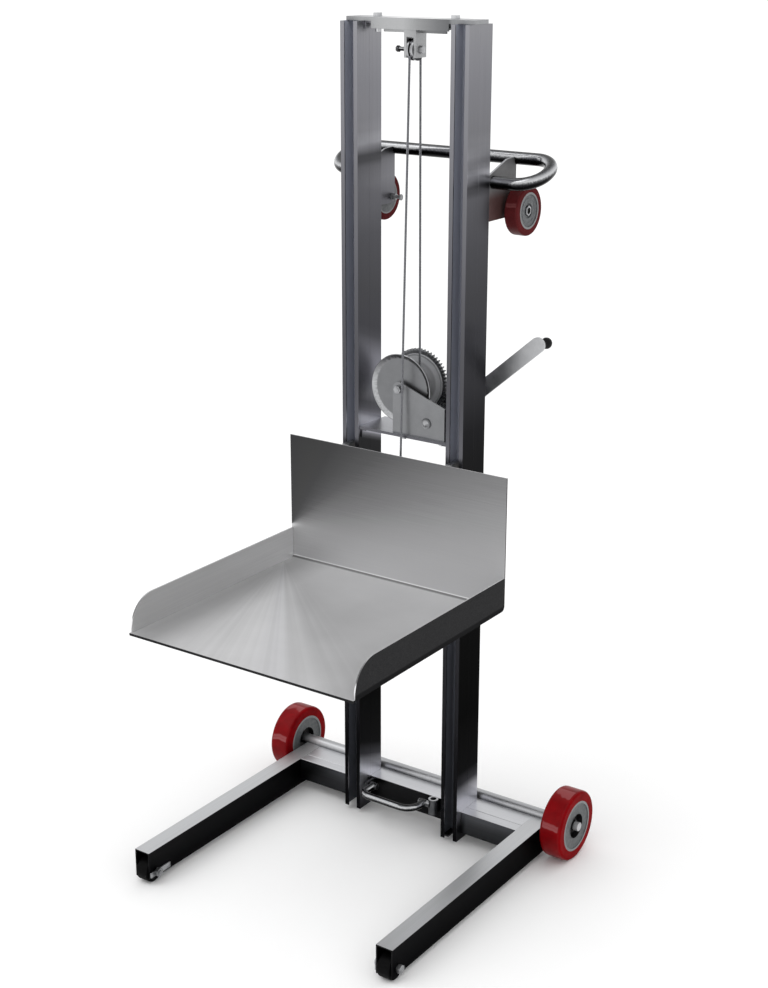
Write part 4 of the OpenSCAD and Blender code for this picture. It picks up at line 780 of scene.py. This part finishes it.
rounded("axle_washers", "black", 0.5)
axle = rounded("rear_axle", "turned", 0.8)
# the axle's end, deep in the hub's recess, gets the painted light of the stub finish
paint(axle, "stub", lambda centre, normal: abs(centre.x) > HUB_IN + RECESS_DEEP
      and across(centre, *AXLE) < STUB_R + 0.5)

# Bolts of the upper wheels: a socket outside, and inside the gussets a slim rod that ends in a small flange

BOLT_END, SOCKET_R, GUSSET_IN, ROD_END = UPPER_OUT - 1.0, 6.4, 143.5, 122.5
UPPER_PLACE = (0.0, UPPER[0] * MM, UPPER[1] * MM)
bolts = rounded("upper_axle_bolts", "bolt", 0.5)
edit(bolts)
select_faces(bolts, lambda centre, normal: abs(normal.x) > 0.99 and abs(abs(centre.x) - BOLT_END) < 0.1)
bpy.ops.mesh.inset(thickness=2.4 * MM)
bpy.ops.mesh.inset(thickness=0.3 * MM, depth=-3.0 * MM)
select_faces(bolts, lambda centre, normal: abs(centre.x) < GUSSET_IN - 0.1)
bpy.ops.transform.resize(value=(1.0, 0.62, 0.62), center_override=UPPER_PLACE)
select_faces(bolts, lambda centre, normal: abs(normal.x) > 0.99 and abs(centre.x) < ROD_END + 0.1)
bpy.ops.mesh.extrude_region_move()
bpy.ops.transform.resize(value=(1.0, 1.9, 1.9), center_override=UPPER_PLACE)
bpy.ops.mesh.extrude_region_move()
bpy.ops.transform.resize(value=(0.984, 1.0, 1.0), center_override=UPPER_PLACE)
bpy.ops.object.mode_set(mode="OBJECT")
paint(bolts, "rod", lambda centre, normal: abs(centre.x) < GUSSET_IN)
paint(bolts, "black", lambda centre, normal: abs(centre.x) > BOLT_END - 3.5 and across(centre, *UPPER) < SOCKET_R)

gussets = rounded("wheel_gussets", "mast", 0.6)
# the outer faces of the gussets get the painted reflection of the tyre
paint(gussets, "gusset_out", lambda centre, normal: normal.x * centre.x > 0.5 * abs(centre.x))


# Cable: six strands laid round each other

CABLE_R, LAY = 2.5, 32.0
STRANDS = 6


def end_ring(node, highest):
    """The middle of a cable solid's end face, in metres."""
    points = [v.co for v in NODES[node].data.vertices]
    level = (max if highest else min)(point.z for point in points)
    ring = [point for point in points if abs(point.z - level) < 3 * MM]
    return sum(ring, Vector()) / len(ring)


def twisted_rope(name, low, high):
    length = (high - low).length
    turns = length / (LAY * MM)
    strand_r = CABLE_R / 3 * MM
    deselect()
    strands = []
    for i in range(STRANDS):
        angle = math.radians(360 / STRANDS * i)
        bpy.ops.mesh.primitive_circle_add(vertices=6, radius=strand_r,
                                          location=(2 * strand_r * math.cos(angle), 2 * strand_r * math.sin(angle), 0))
        strands.append(bpy.context.object)
    deselect()
    for strand in strands:
        strand.select_set(True)
    piece = strands[0]
    bpy.context.view_layer.objects.active = piece
    bpy.ops.object.join()
    settle(name)
    steps = int(turns * 14)
    apply_modifier(piece, "SCREW", axis="Z", angle=math.tau * turns, screw_offset=length, steps=steps,
                   render_steps=steps, use_normal_calculate=True)
    piece.matrix_world = Matrix.Translation(low) @ (high - low).to_track_quat("Z", "Y").to_matrix().to_4x4()
    bpy.ops.object.transform_apply(location=True, rotation=True, scale=True)
    bpy.ops.object.mode_set(mode="EDIT")
    bpy.ops.mesh.select_all(action="SELECT")
    bpy.ops.mesh.fill_holes(sides=8)
    bpy.ops.mesh.normals_make_consistent(inside=False)
    bpy.ops.object.mode_set(mode="OBJECT")
    smooth(piece, 60)
    return piece


# The front run draws out as the carriage goes down. It is made in three parts, which meet after a whole number of
# strands, so that the strands run on.
LOWER_STRANDS, MIDDLE_STRANDS = 16, 143
front_low, front_high = end_ring("cable_front_run", False), end_ring("cable_front_run", True)
front_run = front_high - front_low
pitch = LAY / STRANDS * MM / front_run.length
knots = (0.0, LOWER_STRANDS * pitch, MIDDLE_STRANDS * pitch, 1.0)
for part, first, last in zip(("lower", "middle", "upper"), knots, knots[1:]):
    rope = twisted_rope("front_rope_" + part, front_low + front_run * first, front_low + front_run * last)
    finish_piece(rope, None, "rope")
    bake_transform(rope)
    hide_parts("cable_front_run")

rear_low = end_ring("cable_rear_run", False)
rear_high = Vector((0.0, AXLE_Y - 44.0 * MM, 1666.0 * MM))  # where the cable meets the sheave
rear_rope = twisted_rope("rear_rope", rear_low, rear_high)
finish_piece(rear_rope, "frame", "rope")
bend = rounded("cable_rear_run", "rope", 0.0)
edit(bend)
bpy.ops.mesh.select_all(action="SELECT")
bpy.ops.mesh.bisect(plane_co=rear_high - Vector((0, 0, 2 * MM)), plane_no=(0, -0.4, -1.0), clear_outer=True,
                    use_fill=True)
bpy.ops.object.mode_set(mode="OBJECT")


# Floor and light


FLOOR_SIZE, FLOOR_DROP = 120, 0.0002  # the floor lies just below the wheels, so that no face meets it


def make_floor():
    deselect()
    bpy.ops.mesh.primitive_plane_add(size=FLOOR_SIZE, location=(0, 0, -FLOOR_DROP))
    floor = bpy.context.object
    floor.name = "floor"
    material, tree, _, _ = blank("pale_floor")
    shade(tree, linear("#ffffff"), 0.9, Specular_IOR_Level=0.0)
    floor.data.materials.append(material)


def light_world():
    world = bpy.data.worlds.new("studio")
    bpy.context.scene.world = world
    world.use_nodes = True
    tree = world.node_tree
    tree.nodes.clear()
    add(tree, "OutputWorld", add(tree, "Background", in_Color=grey(1), in_Strength=1.0))


def key_sun():
    deselect()
    bpy.ops.object.light_add(type="SUN", location=(-2, -2, 5))
    lamp = bpy.context.object
    lamp.name = "key"
    lamp.rotation_euler = Vector((0.35, 0.45, -1.0)).to_track_quat("-Z", "Y").to_euler()
    lamp.data.angle = math.radians(40)
    lamp.data.energy = 0.45


make_floor()
light_world()
key_sun()
bpy.context.scene.view_settings.view_transform = "Standard"
